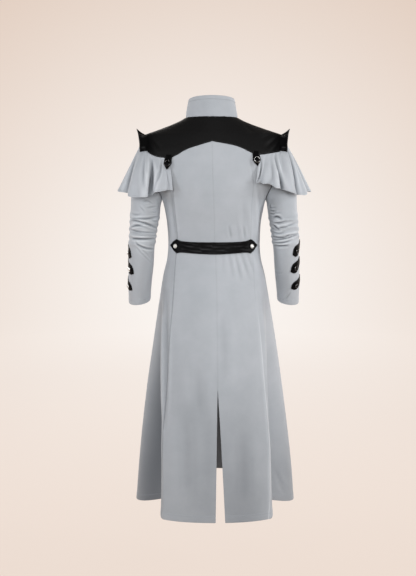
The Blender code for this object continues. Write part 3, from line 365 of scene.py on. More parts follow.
# How dark the nickel is made: in the faces of the old buttons, tarnish together with painted dark reflection,
# and on the rims of the cape and right cuff buttons, painted dark reflection
OLD_FACE_DARKENING = 1.3
CAPE_RIM_PAINTED_REFLECTION = {1: 1.05, -1: 0.0}
CUFF_RIM_PAINTED_REFLECTION = 0.85

# Sewing: seams, hems and the grooves that stitches press in
SEAM_TOUCH = 0.00004
SEAM_DIP = 0.0010
SEAM_DIP_REACH = 0.0019
PUCKER = 0.00030
PUCKER_REACH = 0.011
PUCKER_WAVES = (0.0031, 0.0049)
HEM_TURN = 0.020
HEM_THICKER = 0.0007
HEM_STEP = 0.0015
HEM_STITCH_IN = 0.002
HEM_EDGE_DROP = 0.0007
HEM_EDGE = 0.0012
CUFF_TURN = 0.018
HIDE_STITCH_IN = 0.0035
HIDE_EDGE_DROP = 0.0006
HIDE_EDGE = 0.001
GROOVE = 0.0005
GROOVE_HALF = 0.0013
STITCH_LENGTH = 0.0030
STITCH_PITCH = 0.0042
STITCH_RADIUS = 0.00042

# Creases of the back, front and yoke, in metres: three places as distance from the middle and height, then
# the half width and the depth. A depth below 0 is a trough with soft shoulders, and one above 0 is a ridge.
BACK_CREASES = (
    (-0.0925, -0.267, -0.0969, -0.331, -0.0991, -0.393, 0.0080, -0.0016),
    (-0.1049, -0.305, -0.1106, -0.357, -0.1126, -0.393, 0.0060, -0.0015),
    (-0.0729, -0.345, -0.0783, -0.373, -0.0812, -0.400, 0.0050, -0.0016),
    (-0.0473, -0.351, -0.0510, -0.371, -0.0547, -0.392, 0.0036, -0.0027),
    (-0.0940, -0.352, -0.0975, -0.372, -0.0990, -0.394, 0.0034, -0.0027),
    (-0.1290, -0.205, -0.1385, -0.283, -0.1420, -0.390, 0.0065, 0.0016),
    (-0.1375, -0.225, -0.1500, -0.290, -0.1500, -0.383, 0.0060, -0.0018),
    (0.1553, -0.262, 0.1481, -0.333, 0.1454, -0.399, 0.0070, -0.0018),
    (0.1407, -0.232, 0.1339, -0.307, 0.1249, -0.388, 0.0055, -0.0034),
    (0.1549, -0.560, 0.1534, -0.778, 0.1603, -0.987, 0.0065, -0.0036),
    (0.1656, -0.640, 0.1656, -0.819, 0.1606, -1.017, 0.0032, 0.0022),
    (-0.1164, -0.142, -0.1216, -0.179, -0.1286, -0.223, 0.0032, -0.0020),
    (-0.1340, -0.560, -0.1560, -0.840, -0.1720, -1.035, 0.0048, 0.0018),
    (-0.1715, -1.000, -0.1745, -1.130, -0.1700, -1.272, 0.0048, 0.0018),
    (-0.0253, -0.438, -0.0286, -0.466, -0.0297, -0.512, 0.0065, -0.0010),
    (-0.0482, -0.438, -0.0549, -0.472, -0.0600, -0.516, 0.0056, -0.0019),
    (-0.0671, -0.438, -0.0769, -0.478, -0.0891, -0.530, 0.0056, -0.0024),
    (-0.0856, -0.437, -0.0991, -0.472, -0.1155, -0.522, 0.0056, -0.0026),
    (-0.1029, -0.436, -0.1174, -0.466, -0.1324, -0.506, 0.0062, -0.0018),
    (-0.1202, -0.145, -0.1290, -0.174, -0.1340, -0.200, 0.0050, -0.0014),
    (-0.0256, -0.620, -0.0315, -0.725, -0.0315, -0.840, 0.0150, -0.0017),
    (0.0537, -0.790, 0.0470, -0.871, 0.0437, -0.950, 0.0170, -0.0016),
    (-0.2037, -1.170, -0.2206, -1.205, -0.2400, -1.236, 0.0065, -0.0016),
    (-0.2150, -1.214, -0.2260, -1.232, -0.2381, -1.248, 0.0050, -0.0013),
    (0.0900, -0.930, 0.0850, -1.060, 0.0830, -1.200, 0.0190, -0.0015),
    (-0.0900, -0.980, -0.0960, -1.090, -0.0960, -1.210, 0.0190, -0.0015),
)
FRONT_CREASES = (
    (0.1380, -0.262, 0.1080, -0.320, 0.0740, -0.372, 0.0075, -0.0018),
    (-0.1360, -0.250, -0.1040, -0.306, -0.0760, -0.350, 0.0070, -0.0016),
    (0.1420, -0.330, 0.1180, -0.365, 0.0840, -0.398, 0.0065, -0.0015),
    (-0.1440, -0.320, -0.1220, -0.368, -0.0920, -0.402, 0.0070, -0.0018),
    (0.0620, -0.420, 0.0700, -0.470, 0.0760, -0.540, 0.0070, -0.0015),
    (0.0930, -0.420, 0.1040, -0.462, 0.1130, -0.520, 0.0065, -0.0018),
    (-0.0560, -0.425, -0.0620, -0.470, -0.0660, -0.530, 0.0070, -0.0013),
    (-0.0900, -0.420, -0.1010, -0.470, -0.1100, -0.535, 0.0068, -0.0019),
    (0.0900, -0.800, 0.0960, -0.950, 0.1010, -1.120, 0.0170, -0.0017),
    (-0.1050, -0.760, -0.1120, -0.900, -0.1160, -1.050, 0.0160, -0.0017),
    (0.1800, -0.150, 0.1560, -0.176, 0.1350, -0.196, 0.0055, -0.0014),
    (-0.1780, -0.156, -0.1560, -0.184, -0.1380, -0.206, 0.0055, -0.0013),
)
YOKE_CREASES = (
    (-0.2020, -0.066, -0.1860, -0.083, -0.1660, -0.100, 0.0060, -0.0017),
    (-0.1900, -0.052, -0.1720, -0.063, -0.1510, -0.074, 0.0060, -0.0013),
    (-0.2080, -0.080, -0.1960, -0.098, -0.1840, -0.112, 0.0050, -0.0012),
    (0.2030, -0.068, 0.1880, -0.086, 0.1700, -0.104, 0.0060, -0.0013),
    (0.2110, -0.082, 0.2020, -0.098, 0.1940, -0.112, 0.0050, -0.0010),
    (-0.1050, -0.030, -0.1150, -0.041, -0.1290, -0.052, 0.0050, -0.0009),
)

# Creases of the capes: three places as share round the arm and share of the way down, then the half width and
# the depth in metres. A whole share is so many metres round or down.
CAPE_ROUND = 0.62
CAPE_DEEP = 0.11
CAPE_CREASES = {
    1: (
        (0.266, 0.18, 0.266, 0.57, 0.236, 0.88, 0.0078, -0.0030),
        (0.178, 0.18, 0.196, 0.60, 0.208, 1.06, 0.0078, -0.0072),
        (0.196, 0.58, 0.205, 0.85, 0.212, 1.14, 0.0125, -0.0058),
        (0.057, 0.06, 0.143, 0.59, 0.182, 1.02, 0.0042, -0.0036),
        (0.426, 0.30, 0.412, 0.71, 0.405, 1.08, 0.0060, -0.0050),
        (0.051, 0.45, 0.053, 0.73, 0.044, 1.00, 0.0055, -0.0012),
        (0.520, 0.20, 0.528, 0.60, 0.534, 1.05, 0.0065, -0.0036),
        (0.640, 0.24, 0.628, 0.62, 0.620, 1.05, 0.0080, -0.0050),
        (0.742, 0.18, 0.748, 0.56, 0.760, 1.00, 0.0060, -0.0030),
        (0.868, 0.24, 0.846, 0.62, 0.838, 1.05, 0.0090, -0.0056),
        (0.952, 0.20, 0.934, 0.60, 0.926, 0.95, 0.0050, -0.0024),
    ),
    -1: (
        (0.014, 0.08, 0.041, 0.49, 0.013, 0.96, 0.0052, -0.0052),
        (0.109, 0.06, 0.163, 0.53, 0.157, 0.88, 0.0062, -0.0020),
        (0.152, 0.06, 0.222, 0.58, 0.243, 1.06, 0.0050, -0.0058),
        (0.222, 0.60, 0.236, 0.82, 0.247, 1.08, 0.0090, -0.0046),
        (0.392, 0.16, 0.364, 0.66, 0.366, 1.08, 0.0052, -0.0062),
        (0.480, 0.18, 0.474, 0.60, 0.468, 1.05, 0.0060, -0.0026),
        (0.596, 0.22, 0.606, 0.62, 0.612, 1.05, 0.0080, -0.0050),
        (0.706, 0.16, 0.698, 0.58, 0.690, 1.02, 0.0060, -0.0034),
        (0.812, 0.24, 0.826, 0.64, 0.836, 1.06, 0.0090, -0.0056),
        (0.936, 0.14, 0.926, 0.52, 0.918, 0.96, 0.0055, -0.0028),
    ),
}

# Creases of the straps: three places as metres along and across, then the half width and the depth
BELT_CREASES = (
    (0.018, -0.010, 0.040, -0.005, 0.070, 0.001, 0.0024, -0.0011),
    (0.050, 0.007, 0.092, 0.010, 0.138, 0.007, 0.0022, -0.0010),
    (0.090, -0.006, 0.128, -0.001, 0.172, 0.003, 0.0026, -0.0013),
    (0.104, -0.013, 0.140, -0.011, 0.170, -0.012, 0.0020, -0.0009),
    (0.150, -0.010, 0.182, -0.006, 0.222, -0.002, 0.0022, -0.0013),
    (0.178, 0.006, 0.212, 0.009, 0.246, 0.013, 0.0020, -0.0012),
    (0.196, -0.014, 0.220, -0.012, 0.246, -0.008, 0.0018, -0.0012),
    (0.240, 0.008, 0.252, 0.001, 0.262, -0.008, 0.0020, -0.0012),
)
CUFF_TAB_CREASES = (
    (0.010, 0.004, 0.020, -0.001, 0.030, -0.006, 0.0018, -0.0008),
    (0.028, 0.009, 0.040, 0.007, 0.052, 0.010, 0.0016, -0.0008),
)

# Creases of the sleeves: three places as reach along the arm and clock round it, in degrees, then the half
# width and the depth in metres
SLEEVE_CREASES = {
    1: (
        (0.299, 84, 0.266, 104, 0.266, 122, 0.0034, -0.0016),
        (0.331, 100, 0.302, 120, 0.251, 146, 0.0032, -0.0016),
        (0.333, 69, 0.347, 82, 0.366, 93, 0.0030, -0.0012),
        (0.363, 112, 0.347, 128, 0.342, 148, 0.0028, -0.0011),
        (0.384, 27, 0.387, 58, 0.376, 79, 0.0026, -0.0012),
        (0.408, 24, 0.403, 92, 0.374, 160, 0.0026, -0.0027),
        (0.424, 31, 0.426, 86, 0.464, 183, 0.0028, -0.0035),
        (0.445, 47, 0.448, 88, 0.462, 121, 0.0025, -0.0016),
        (0.406, 124, 0.414, 140, 0.410, 160, 0.0024, -0.0013),
        (0.466, 29, 0.448, 58, 0.440, 91, 0.0026, -0.0025),
        (0.472, 22, 0.482, 82, 0.488, 160, 0.0026, -0.0027),
        (0.488, 30, 0.494, 86, 0.506, 164, 0.0024, -0.0025),
        (0.496, 34, 0.507, 104, 0.509, 155, 0.0022, -0.0018),
        (0.523, 28, 0.526, 92, 0.525, 158, 0.0028, -0.0035),
        (0.546, 66, 0.578, 104, 0.594, 167, 0.0027, -0.0032),
        (0.565, 64, 0.619, 101, 0.701, 164, 0.0022, -0.0013),
        (0.568, 78, 0.605, 110, 0.648, 142, 0.0020, -0.0010),
        (0.405, -35, 0.412, -88, 0.432, -150, 0.0028, -0.0030),
        (0.436, -52, 0.444, -84, 0.440, -120, 0.0025, -0.0016),
        (0.452, -30, 0.470, -80, 0.462, -150, 0.0028, -0.0034),
        (0.488, -44, 0.490, -92, 0.498, -140, 0.0024, -0.0022),
        (0.512, -60, 0.518, -100, 0.530, -160, 0.0027, -0.0030),
        (0.560, -75, 0.556, -110, 0.575, -165, 0.0026, -0.0026),
        (0.330, -60, 0.345, -92, 0.340, -130, 0.0030, -0.0016),
        (0.590, -84, 0.632, -112, 0.690, -150, 0.0022, -0.0012),
    ),
    -1: (
        (0.215, 142, 0.240, 150, 0.320, 145, 0.0050, -0.0020),
        (0.272, 152, 0.290, 136, 0.312, 119, 0.0030, -0.0016),
        (0.318, 154, 0.330, 137, 0.346, 120, 0.0030, -0.0020),
        (0.350, 156, 0.356, 144, 0.364, 130, 0.0026, -0.0016),
        (0.365, 138, 0.360, 120, 0.366, 101, 0.0028, -0.0012),
        (0.386, 136, 0.387, 118, 0.402, 102, 0.0032, -0.0036),
        (0.413, 144, 0.426, 118, 0.416, 84, 0.0028, -0.0024),
        (0.424, 90, 0.421, 74, 0.422, 56, 0.0026, -0.0012),
        (0.435, 145, 0.451, 130, 0.469, 118, 0.0036, -0.0042),
        (0.453, 155, 0.462, 138, 0.475, 125, 0.0026, -0.0026),
        (0.459, 121, 0.454, 104, 0.453, 84, 0.0028, -0.0023),
        (0.454, 92, 0.443, 72, 0.438, 38, 0.0026, -0.0015),
        (0.485, 146, 0.491, 120, 0.480, 96, 0.0024, -0.0017),
        (0.509, 158, 0.518, 117, 0.506, 80, 0.0028, -0.0034),
        (0.507, 92, 0.502, 66, 0.494, 20, 0.0026, -0.0027),
        (0.533, 158, 0.528, 109, 0.515, 69, 0.0026, -0.0031),
        (0.520, 84, 0.512, 62, 0.502, 27, 0.0024, -0.0024),
        (0.550, 161, 0.547, 110, 0.530, 66, 0.0026, -0.0027),
        (0.570, 160, 0.568, 112, 0.562, 84, 0.0027, -0.0028),
        (0.757, 158, 0.746, 134, 0.734, 112, 0.0022, -0.0010),
        (0.874, 78, 0.920, 94, 0.957, 107, 0.0028, -0.0013),
        (0.883, 90, 0.936, 108, 0.965, 118, 0.0022, -0.0009),
        (0.400, -40, 0.416, -90, 0.424, -148, 0.0028, -0.0030),
        (0.428, -58, 0.436, -88, 0.446, -126, 0.0024, -0.0017),
        (0.446, -28, 0.456, -84, 0.474, -152, 0.0028, -0.0034),
        (0.484, -48, 0.486, -90, 0.494, -136, 0.0024, -0.0020),
        (0.504, -50, 0.516, -96, 0.520, -158, 0.0027, -0.0031),
        (0.548, -80, 0.562, -115, 0.560, -162, 0.0026, -0.0026),
        (0.336, -64, 0.328, -96, 0.346, -134, 0.0030, -0.0016),
        (0.586, -90, 0.624, -116, 0.672, -152, 0.0022, -0.0012),
    ),
}

# How each group of creases differs: the keen share of a trough, how much of the depth is used, and its tone,
# the painted shade in its troughs and the painted highlight on its ridges
CREASE_KEEN = 0.15
YOKE_CREASE_MORE = 1.5
SLEEVE_KEEN = 0.80
SLEEVE_CREASE_MORE = 1.10
CAPE_KEEN = 0.55
BODY_TONE = 0.19
YOKE_TONE = 0.08
SLEEVE_TONE = 0.90
CAPE_TONE = 0.78

# Section of a trough, in half widths: size and width of its bell, size and pace of its valley, and the size,
# place and width of its shoulders. Then how a crease fades at its ends.
TROUGH_BELL = (0.50, 0.42)
TROUGH_VALLEY = (0.80, 1.25)
TROUGH_SHOULDER = (0.42, 2.0, 1.0)
CREASE_ENDS = (0.92, 0.04, 0.7)

# Depth at which a crease has its whole painted tone, and the relief where a trough's painted shade and a
# ridge's painted highlight start
HOLLOW_DEPTH = 0.0026
CAPE_HOLLOW_DEPTH = 0.0056
TROUGH_STARTS = 0.0003
RIDGE_STARTS = 0.0001
RIDGE_DEPTH_SHARE = 0.6

# Slow unevenness of hanging cloth
DRAPE_SLOW = 0.00045
DRAPE_SLOWER = 0.0005

# The half-belt presses the back's ridges flat under itself and a little way round
BELT_PRESS = 0.010
BELT_PRESS_SIDE = 0.150

# Painted light on a sleeve, a paler band round the arm: clock, its spread and how pale
SLEEVE_PAINTED_LIGHT = {1: (158, 55, 0.62), -1: (120, 60, 0.0)}

# How plainly the seams between the back panels show as lines, and the painted highlight along them on the
# skirt
SEAM_LINE = 0.0016
SEAM_TONE = 0.42
COLLAR_LINE_TONE = 0.17
SEAM_SHOWS = {1: 1.0, -1: 0.32}
MIDDLE_SEAM_SHOWS = 0.20
SIDE_SEAM_SHOWS = 0.8
SEAM_HIGHLIGHT = {1: 0.0, -1: 0.75}
SEAM_HIGHLIGHT_TOP = -0.56
SEAM_HIGHLIGHT_REACH = 0.20

# The yoke is darker beside the armholes, under the wings
YOKE_SHADE = 0.9
YOKE_SHADE_REACH = 0.034

# Where the skirt's folds keep the light out: share across the panel, its spread, the heights where it starts
# and is full, and how dark it is
FOLD_TONES = {
    "back_left": ((0.10, 0.40, -0.80, -1.12, 0.22), (0.50, 0.90, -0.64, -0.96, 0.16)),
    "back_right": ((0.30, 0.62, -0.75, -1.22, 0.44), (0.50, 0.90, -0.64, -0.96, 0.06)),
    "side_back_left": ((0.61, 0.31, -0.30, -1.00, 0.88), (0.00, 0.20, -0.20, -0.36, 0.14)),
    "side_back_right": ((0.78, 0.50, -0.86, -1.24, 0.40),),
    "front_left": ((0.00, 0.30, -0.50, -1.05, 0.30),),
    "front_right": ((0.00, 0.30, -0.86, -1.24, 0.30),),
}

# Spacing of the grids, and how far from a seam, a hem line or the armhole's corner it is finer
CLOTH_STEP = 0.0040
FRONT_STEP = 0.0050
FINE_STEP = 0.0012
SEAM_BAND = 0.005
HEM_BAND = 0.004
CORNER_BAND = 0.06
SLEEVE_STEP = 0.0036 / 0.5
SLEEVE_BANDS = ((0.47, 0.17, 0.0024), (0, 0.01, 0.003), (1, 0.012, 0.003), (0.955, 0.01, 0.003))
SLEEVE_LINES = 120
CAPE_BANDS_ROUND = ((0, 0.01, 0.002), (1, 0.01, 0.002))
CAPE_BANDS_DOWN = ((0, 0.02, 0.012), (1, 0.05, 0.012))
WING_BANDS = ((0, 0.05, 0.03), (1, 0.1, 0.03))
COLLAR_BANDS = ((0.80, 0.06, 0.015), (1, 0.03, 0.010), (0, 0.03, 0.010))

# Small steps for the slopes of a surface, and edges that turn by more than the sharp angle stay crisp
NORMAL_TURN = 0.012
NORMAL_DROP = 0.004
TRIM_TURN = 0.005
CLOCK_STEP = 0.02
REACH_STEP = 0.004
SHARP_ANGLE = math.radians(55)


def smooth(x, xs, ys):
    """Curve through the points (xs, ys) that never overshoots them, read at x.

    Each span is a cubic whose end slopes are the harmonic mean of the slopes beside them.
    """
    xs = np.asarray(xs, float)
    ys = np.asarray(ys, float)
    if xs[0] > xs[-1]:
        xs = xs[::-1]
        ys = ys[::-1]
    step = np.diff(xs)
    rise = np.diff(ys) / step
    slope = np.zeros(len(xs))
    slope[0] = rise[0]
    slope[-1] = rise[-1]
    both = rise[:-1] * rise[1:] > 0
    weight = (2 * step[1:] + step[:-1], step[1:] + 2 * step[:-1])
    with np.errstate(divide="ignore", invalid="ignore"):
        mean = (weight[0] + weight[1]) / (weight[0] / rise[:-1] + weight[1] / rise[1:])
    slope[1:-1] = np.where(both, mean, 0.0)
    x = np.clip(np.asarray(x, float), xs[0], xs[-1])
    at = np.clip(np.searchsorted(xs, x, side="right") - 1, 0, len(step) - 1)
    h = step[at]
    t = (x - xs[at]) / h
    return (
        ys[at] * (1 + 2 * t) * (1 - t) ** 2
        + h * slope[at] * t * (1 - t) ** 2
        + ys[at + 1] * t**2 * (3 - 2 * t)
        + h * slope[at + 1] * t**2 * (t - 1)
    )


def ease(t):
    """0 to 1 with level ends: 3 t squared less 2 t cubed."""
    t = np.clip(t, 0.0, 1.0)
    return t * t * (3 - 2 * t)


def bell(x, width):
    """Bell round 0: e to the power of minus the square of x over the width."""
    return np.exp(-((x / width) ** 2))


def table(rows, columns):
    """Columns of a table by name, as arrays."""
    return {name: np.array([row[i] for row in rows], float) for i, name in enumerate(columns)}


def read(rows, name, at):
    """Column of a table as a smooth curve over its first column, read at the places given."""
    return smooth(at, next(iter(rows.values())), rows[name])


SECTION = table(SECTIONS, SECTION_COLUMNS)
SEAM = table(SEAMS, SEAM_COLUMNS)
YOKE = table(YOKE_EDGE, YOKE_COLUMNS)
FOLD_ROWS = [dict(zip(FOLD_COLUMNS, row)) for row in FOLDS]
ARM = table(SLEEVE, SLEEVE_COLUMNS)
CAPE_LINES = table(CAPE, CAPE_COLUMNS)


def unit(v):
    return v / np.maximum(np.linalg.norm(v, axis=-1, keepdims=True), 1e-12)


def mirrored(points, side):
    return points * np.array([side, 1, 1])


def graded(start, end, step, bands=()):
    """Values from start to end about a step apart, closer in each band of (place, half width, fine step).

    The number of values per metre is summed along the line, and even steps of that sum give the values.
    """
    parts = 3000
    line = np.linspace(start, end, parts + 1)
    density = np.full(line.shape, 1 / step)
    for place, half, fine in bands:
        density += (1 / fine - 1 / step) * np.exp(-(((line - place) / half) ** 4))
    pace = abs(end - start) / parts
    count = np.concatenate([[0], np.cumsum((density[1:] + density[:-1]) / 2 * pace)])
    return np.interp(np.linspace(0, count[-1], int(round(count[-1])) + 1), count, line)


# The coat's body


def section(name, z):
    return read(SECTION, name, z)


def level_ring(turn, z):
    """Point of the plain section at height z, an oval squared by its third harmonic.

    A turn is 0 at the middle back and grows to the wearer's left.
    """
    q = section("square", z)
    depth = np.where(np.cos(turn) > 0, section("back", z), section("front", z))
    x = section("half_width", z) * (np.sin(turn) + q * np.sin(3 * turn)) / (1 - q)
    y = depth * (np.cos(turn) - q * np.cos(3 * turn)) / (1 - q)
    return x + section("shift", z), y


def fold_push(turn, z):
    """Sum of the folds: each starts at its ridge, drops to full depth and comes back over its width."""
    degrees = np.degrees(turn)
    total = np.zeros(np.broadcast(turn, z).shape)
    for fold in FOLD_ROWS:
        down = ease((fold["top_height"] - z) / (fold["top_height"] - fold["full_height"]))
        side = math.copysign(1, fold["turn_at_hem"])
        way = ease((fold["top_height"] - z) / (fold["top_height"] - HEM_Z))
        ridge = fold["turn_at_top"] + (fold["turn_at_hem"] - fold["turn_at_top"]) * way
        from_ridge = (degrees - ridge) * side / fold["width"]
        share = fold["ridge_share"]
        if share == EVEN_SHARE:
            from_ridge = from_ridge + EVEN_SHARE
        shape = ease(from_ridge / share) * (1 - ease((from_ridge - share) / (1 - share)))
        total = total + fold["depth"] * down * shape
    return total


def coat(turn, z):
    """Outer face of the plain coat: the level section, pushed by the folds and lifted at the hem and neck."""
    turn, z = np.broadcast_arrays(np.asarray(turn, float), np.asarray(z, float))
    x, y = level_ring(turn, z)
    way = unit(np.stack([np.sin(turn) / section("half_width", z), np.cos(turn) / FOLD_WAY_DEPTH], -1))
    push = fold_push(turn, z)
    low = ease((HEM_RISE_STARTS - z) / (HEM_RISE_STARTS - HEM_Z))
    high = ease((z - NECK_DROP_ENDS) / -NECK_DROP_ENDS)
    front = np.maximum(0.0, -np.cos(turn)) ** NECK_DROP_CURVE
    rise = HEM_RISE * ((1 - np.cos(turn)) / 2) ** HEM_CURVE - HEM_LIFT_IN_FOLDS * push
    lift = rise * low - NECK_DROP * high * front
    return np.stack([x + way[..., 0] * push, y + way[..., 1] * push, z + lift], -1)


def coat_normal(turn, z):
    """Way out of the coat, square to its slopes along the turn and down."""
    along = coat(turn + NORMAL_TURN, z) - coat(turn - NORMAL_TURN, z)
    down = coat(turn, z - NORMAL_DROP) - coat(turn, np.minimum(z + NORMAL_DROP, 0.0))
    return unit(np.cross(along, down))


def on_coat(turn, z, off):
    """Point a distance off the plain coat."""
    return coat(turn, z) + coat_normal(turn, z) * np.asarray(off)[..., None]


def turn_at_x(x, z):
    """Turn of the back's plain section at distance x from the middle plane, from a fine table of turns."""
    turns = np.linspace(-math.pi / 2, math.pi / 2, 361)
    xs, _ = level_ring(turns[None, :], np.asarray(z, float)[:, None])
    places = np.broadcast_to(x, np.shape(z))
    return np.array([np.interp(place, line, turns) for place, line in zip(places, xs)])


def armhole_y(z):
    """Half depth of the armhole's oval at a height."""
    share = (z - ARMHOLE_MIDDLE_Z) / ARMHOLE_HALF_HEIGHT
    return ARMHOLE_HALF_DEPTH * np.sqrt(np.clip(1 - share**2, 0, 1))


def armhole_turn(z, front):
    """Turn above 0 where the section is as deep as the armhole's edge, from a fine table of turns."""
    quarter = np.linspace(math.pi / 2, math.pi if front else 0, 241)
    z = np.asarray(z, float)
    _, ys = level_ring(quarter[None, :], z.reshape(-1, 1))
    found = [np.interp(deep, np.abs(line), quarter) for deep, line in zip(armhole_y(z.ravel()), ys)]
    return np.reshape(found, z.shape)


def armhole_height(angle):
    """Height on the armhole by the angle round its oval, 0 at the shoulder and half a round at the armpit."""
    return ARMHOLE_MIDDLE_Z + ARMHOLE_HALF_HEIGHT * np.cos(angle)


def armhole_angle(z):
    """Angle round the armhole's oval by height."""
    return np.arccos(np.clip((np.asarray(z, float) - ARMHOLE_MIDDLE_Z) / ARMHOLE_HALF_HEIGHT, -1, 1))


# Places on the armhole, counted from the shoulder: down the yoke's end by shares of its drop, then on to the
# armpit
CORNER_ANGLE = float(armhole_angle(YOKE_CORNER_Z))
YOKE_END_DROPS = np.array((0.0, 0.12, 0.42, 0.70, 1.0))
ARMHOLE_ANGLES = np.concatenate([
    armhole_angle(SHOULDER_Z + (YOKE_CORNER_Z - SHOULDER_Z) * YOKE_END_DROPS),
    np.linspace(CORNER_ANGLE, math.pi, 6)[1:],
])


def armhole_point(side, index):
    """Armhole's edge and the coat's way out there, in the frame of the left arm.

    index is 0 at the shoulder, 9 at the armpit by way of the back, and 18 at the shoulder again.
    """
    index = np.mod(np.asarray(index, float), ARMHOLE_COUNT)
    front = index > ARMHOLE_COUNT / 2
    from_top = np.where(front, ARMHOLE_COUNT - index, index)
    z = armhole_height(smooth(from_top, np.arange(len(ARMHOLE_ANGLES)), ARMHOLE_ANGLES))
    turn = side * np.where(front, armhole_turn(z, True), armhole_turn(z, False))
    return mirrored(coat(turn, z), side), mirrored(coat_normal(turn, z), side)


def yoke_edge(share, side, front):
    """Height of the yoke's lower edge by share of the way from the middle to the armhole."""
    return read(YOKE, "front" if front else f"back_{WORD[side]}", share)


def corner_turn(front):
    """Turn of the yoke's corner, where its lower edge meets the armhole."""
    return float(armhole_turn(np.array([YOKE_CORNER_Z]), front)[0])


CORNER_TURN = {False: corner_turn(False), True: corner_turn(True)}


def princess_turn(side, z):
    """Princess seam, which runs from the yoke's low point to the hem."""
    x = read(SEAM, f"{WORD[side]}_princess", z) * side
    top = side * LOW_POINT_SHARE * CORNER_TURN[False]
    near_top = ease((z - PRINCESS_MEETS_YOKE_Z) / PRINCESS_BLEND)
    return turn_at_x(x, z) * (1 - near_top) + top * near_top


def middle_turn(side, z):
    """Middle back seam, which opens into the vent."""
    x = read(SEAM, "middle_back", z)
    opens = np.clip((VENT_TOP_Z - z) / (VENT_TOP_Z - HEM_Z), 0, 1) ** VENT_CURVE
    return turn_at_x(x + side * opens * VENT_WIDTH_AT_HEM / 2, z)


def side_seam(side, z, front):
    """Armhole's edge above the armpit, and the side seam below it."""
    below = math.pi / 2 + (SIDE_SEAM_TURN - math.pi / 2) * ease((z - ARMPIT_Z) / (WAIST_Z - ARMPIT_Z))
    above_armpit = z > ARMPIT_Z + 1e-6
    return side * np.where(above_armpit, armhole_turn(z, front), below)


def cut_rows(edge_z, step):
    """Heights of a panel's rows, and the plain heights. A column runs from its own upper edge to the hem."""
    corner = (CORNER_ANGLE, CORNER_BAND, FINE_STEP / ARMHOLE_PER_RADIAN)
    angles = graded(CORNER_ANGLE, math.pi, step / ARMHOLE_PER_RADIAN, [corner])
    upper = armhole_height(angles)
    part = (upper - ARMPIT_Z) / (upper[0] - ARMPIT_Z)
    top = ARMPIT_Z + (edge_z - ARMPIT_Z)[None, :] * part[:, None]
    top[0] -= SEAM_TOUCH
    hem_lines = [(HEM_Z, HEM_BAND, FINE_STEP), (HEM_Z + HEM_TURN, HEM_BAND, FINE_STEP)]
    below = graded(ARMPIT_Z, HEM_Z, step, hem_lines)[1:]
    return np.concatenate([top, np.repeat(below[:, None], len(edge_z), 1)]), np.concatenate([upper, below])


def trimmed(turn, z):
    """Turns with the first and last column drawn in by a hair, so that sewn panels meet without touching."""
    turn = turn.copy()
    for column, inward in ((0, 1), (-1, -1)):
        edge = turn[:, column]
        way = np.sign(turn[:, column + inward] - edge)
        span = coat(edge + TRIM_TURN, z[:, column]) - coat(edge - TRIM_TURN, z[:, column])
        pace = np.linalg.norm(span, axis=-1) / (2 * TRIM_TURN)
        turn[:, column] = edge + way * SEAM_TOUCH / np.maximum(pace, 1e-4)
    return turn


def shares_across(width, step, bands=()):
    """Columns of a panel about as wide as width, closer at both seams."""
    edge = SEAM_BAND / width
    close = FINE_STEP / width
    return graded(0, 1, step / width, [(0, edge, close), (1, edge, close), *bands])


# Relief: how far the cloth stands out from its plain form


def crease_relief(u, v, rows, keen=CREASE_KEEN):
    """Creases given one by one, on any flat coordinates u and v in metres.

    Each runs along a quadratic curve through its three places and fades at its ends. A ridge is a bell
    across, and a trough is a bell with two low shoulders. The share keen of a trough is a narrow bell in an
    exponential valley.
    """
    u, v = np.broadcast_arrays(u, v)
    total = np.zeros(u.shape)
    ts = np.linspace(0, 1, 13)
    weights = np.stack([(1 - ts) * (1 - 2 * ts), 4 * ts * (1 - ts), ts * (2 * ts - 1)], -1)
    for u1, v1, u2, v2, u3, v3, half, depth in rows:
        line = weights @ np.array([(u1, v1), (u2, v2), (u3, v3)])
        low = line.min(0) - 4 * half
        high = line.max(0) + 4 * half
        near = (u > low[0]) & (u < high[0]) & (v > low[1]) & (v < high[1])
        if not near.any():
            continue
        at = np.stack([u[near], v[near]], -1)
        best = np.full(len(at), 1e9)
        place = np.zeros(len(at))
        for i in range(len(ts) - 1):
            step = line[i + 1] - line[i]
            along = np.clip(((at - line[i]) @ step) / (step @ step), 0, 1)
            gap = ((at - line[i] - along[:, None] * step) ** 2).sum(1)
            closer = gap < best
            best = np.where(closer, gap, best)
            place = np.where(closer, (i + along) / (len(ts) - 1), place)
        far = np.sqrt(best) / half
        shape = bell(far, 1)
        if depth < 0:
            narrow = TROUGH_BELL[0] * bell(far, TROUGH_BELL[1])
            narrow = narrow + TROUGH_VALLEY[0] * np.exp(-TROUGH_VALLEY[1] * far)
            size, away, width = TROUGH_SHOULDER
            shape = narrow * keen + shape * (1 - keen) - size * bell(far - away, width)
        part, margin, curve = CREASE_ENDS
        total[near] += depth * shape * np.sin(math.pi * np.clip(place * part + margin, 0, 1)) ** curve
    return total


def seam_relief(distance, along, strength=1.0):
    """Cloth that dips into a seam, with slight puckers beside it made of two sine waves."""
    wave = np.sin(along / PUCKER_WAVES[0]) + 0.7 * np.sin(along / PUCKER_WAVES[1] + 1.3)
    dip = -SEAM_DIP * bell(distance, SEAM_DIP_REACH)
    return strength * (dip + PUCKER * np.exp(-distance / PUCKER_REACH) * wave)


def hollow_of(relief, tone, full=HOLLOW_DEPTH):
    """Painted tone of a crease from its depth: painted shade above 0, more in a deeper trough, painted
    highlight on its ridge.
    """
    trough = np.clip(-(relief + TROUGH_STARTS) / full, 0, 1)
    ridge = np.clip((relief - RIDGE_STARTS) / (RIDGE_DEPTH_SHARE * full), 0, 1)
    return tone * (trough - ridge)


def fold_tone(name, shares, z):
    """Deeper tone inside the skirt's folds: bells across the panel that grow towards the hem."""
    total = np.zeros(np.broadcast(shares, z).shape)
    for share, spread, starts, full, dark in FOLD_TONES[name]:
        total = total + dark * bell(shares - share, spread) * ease((starts - z) / (starts - full))
    return total


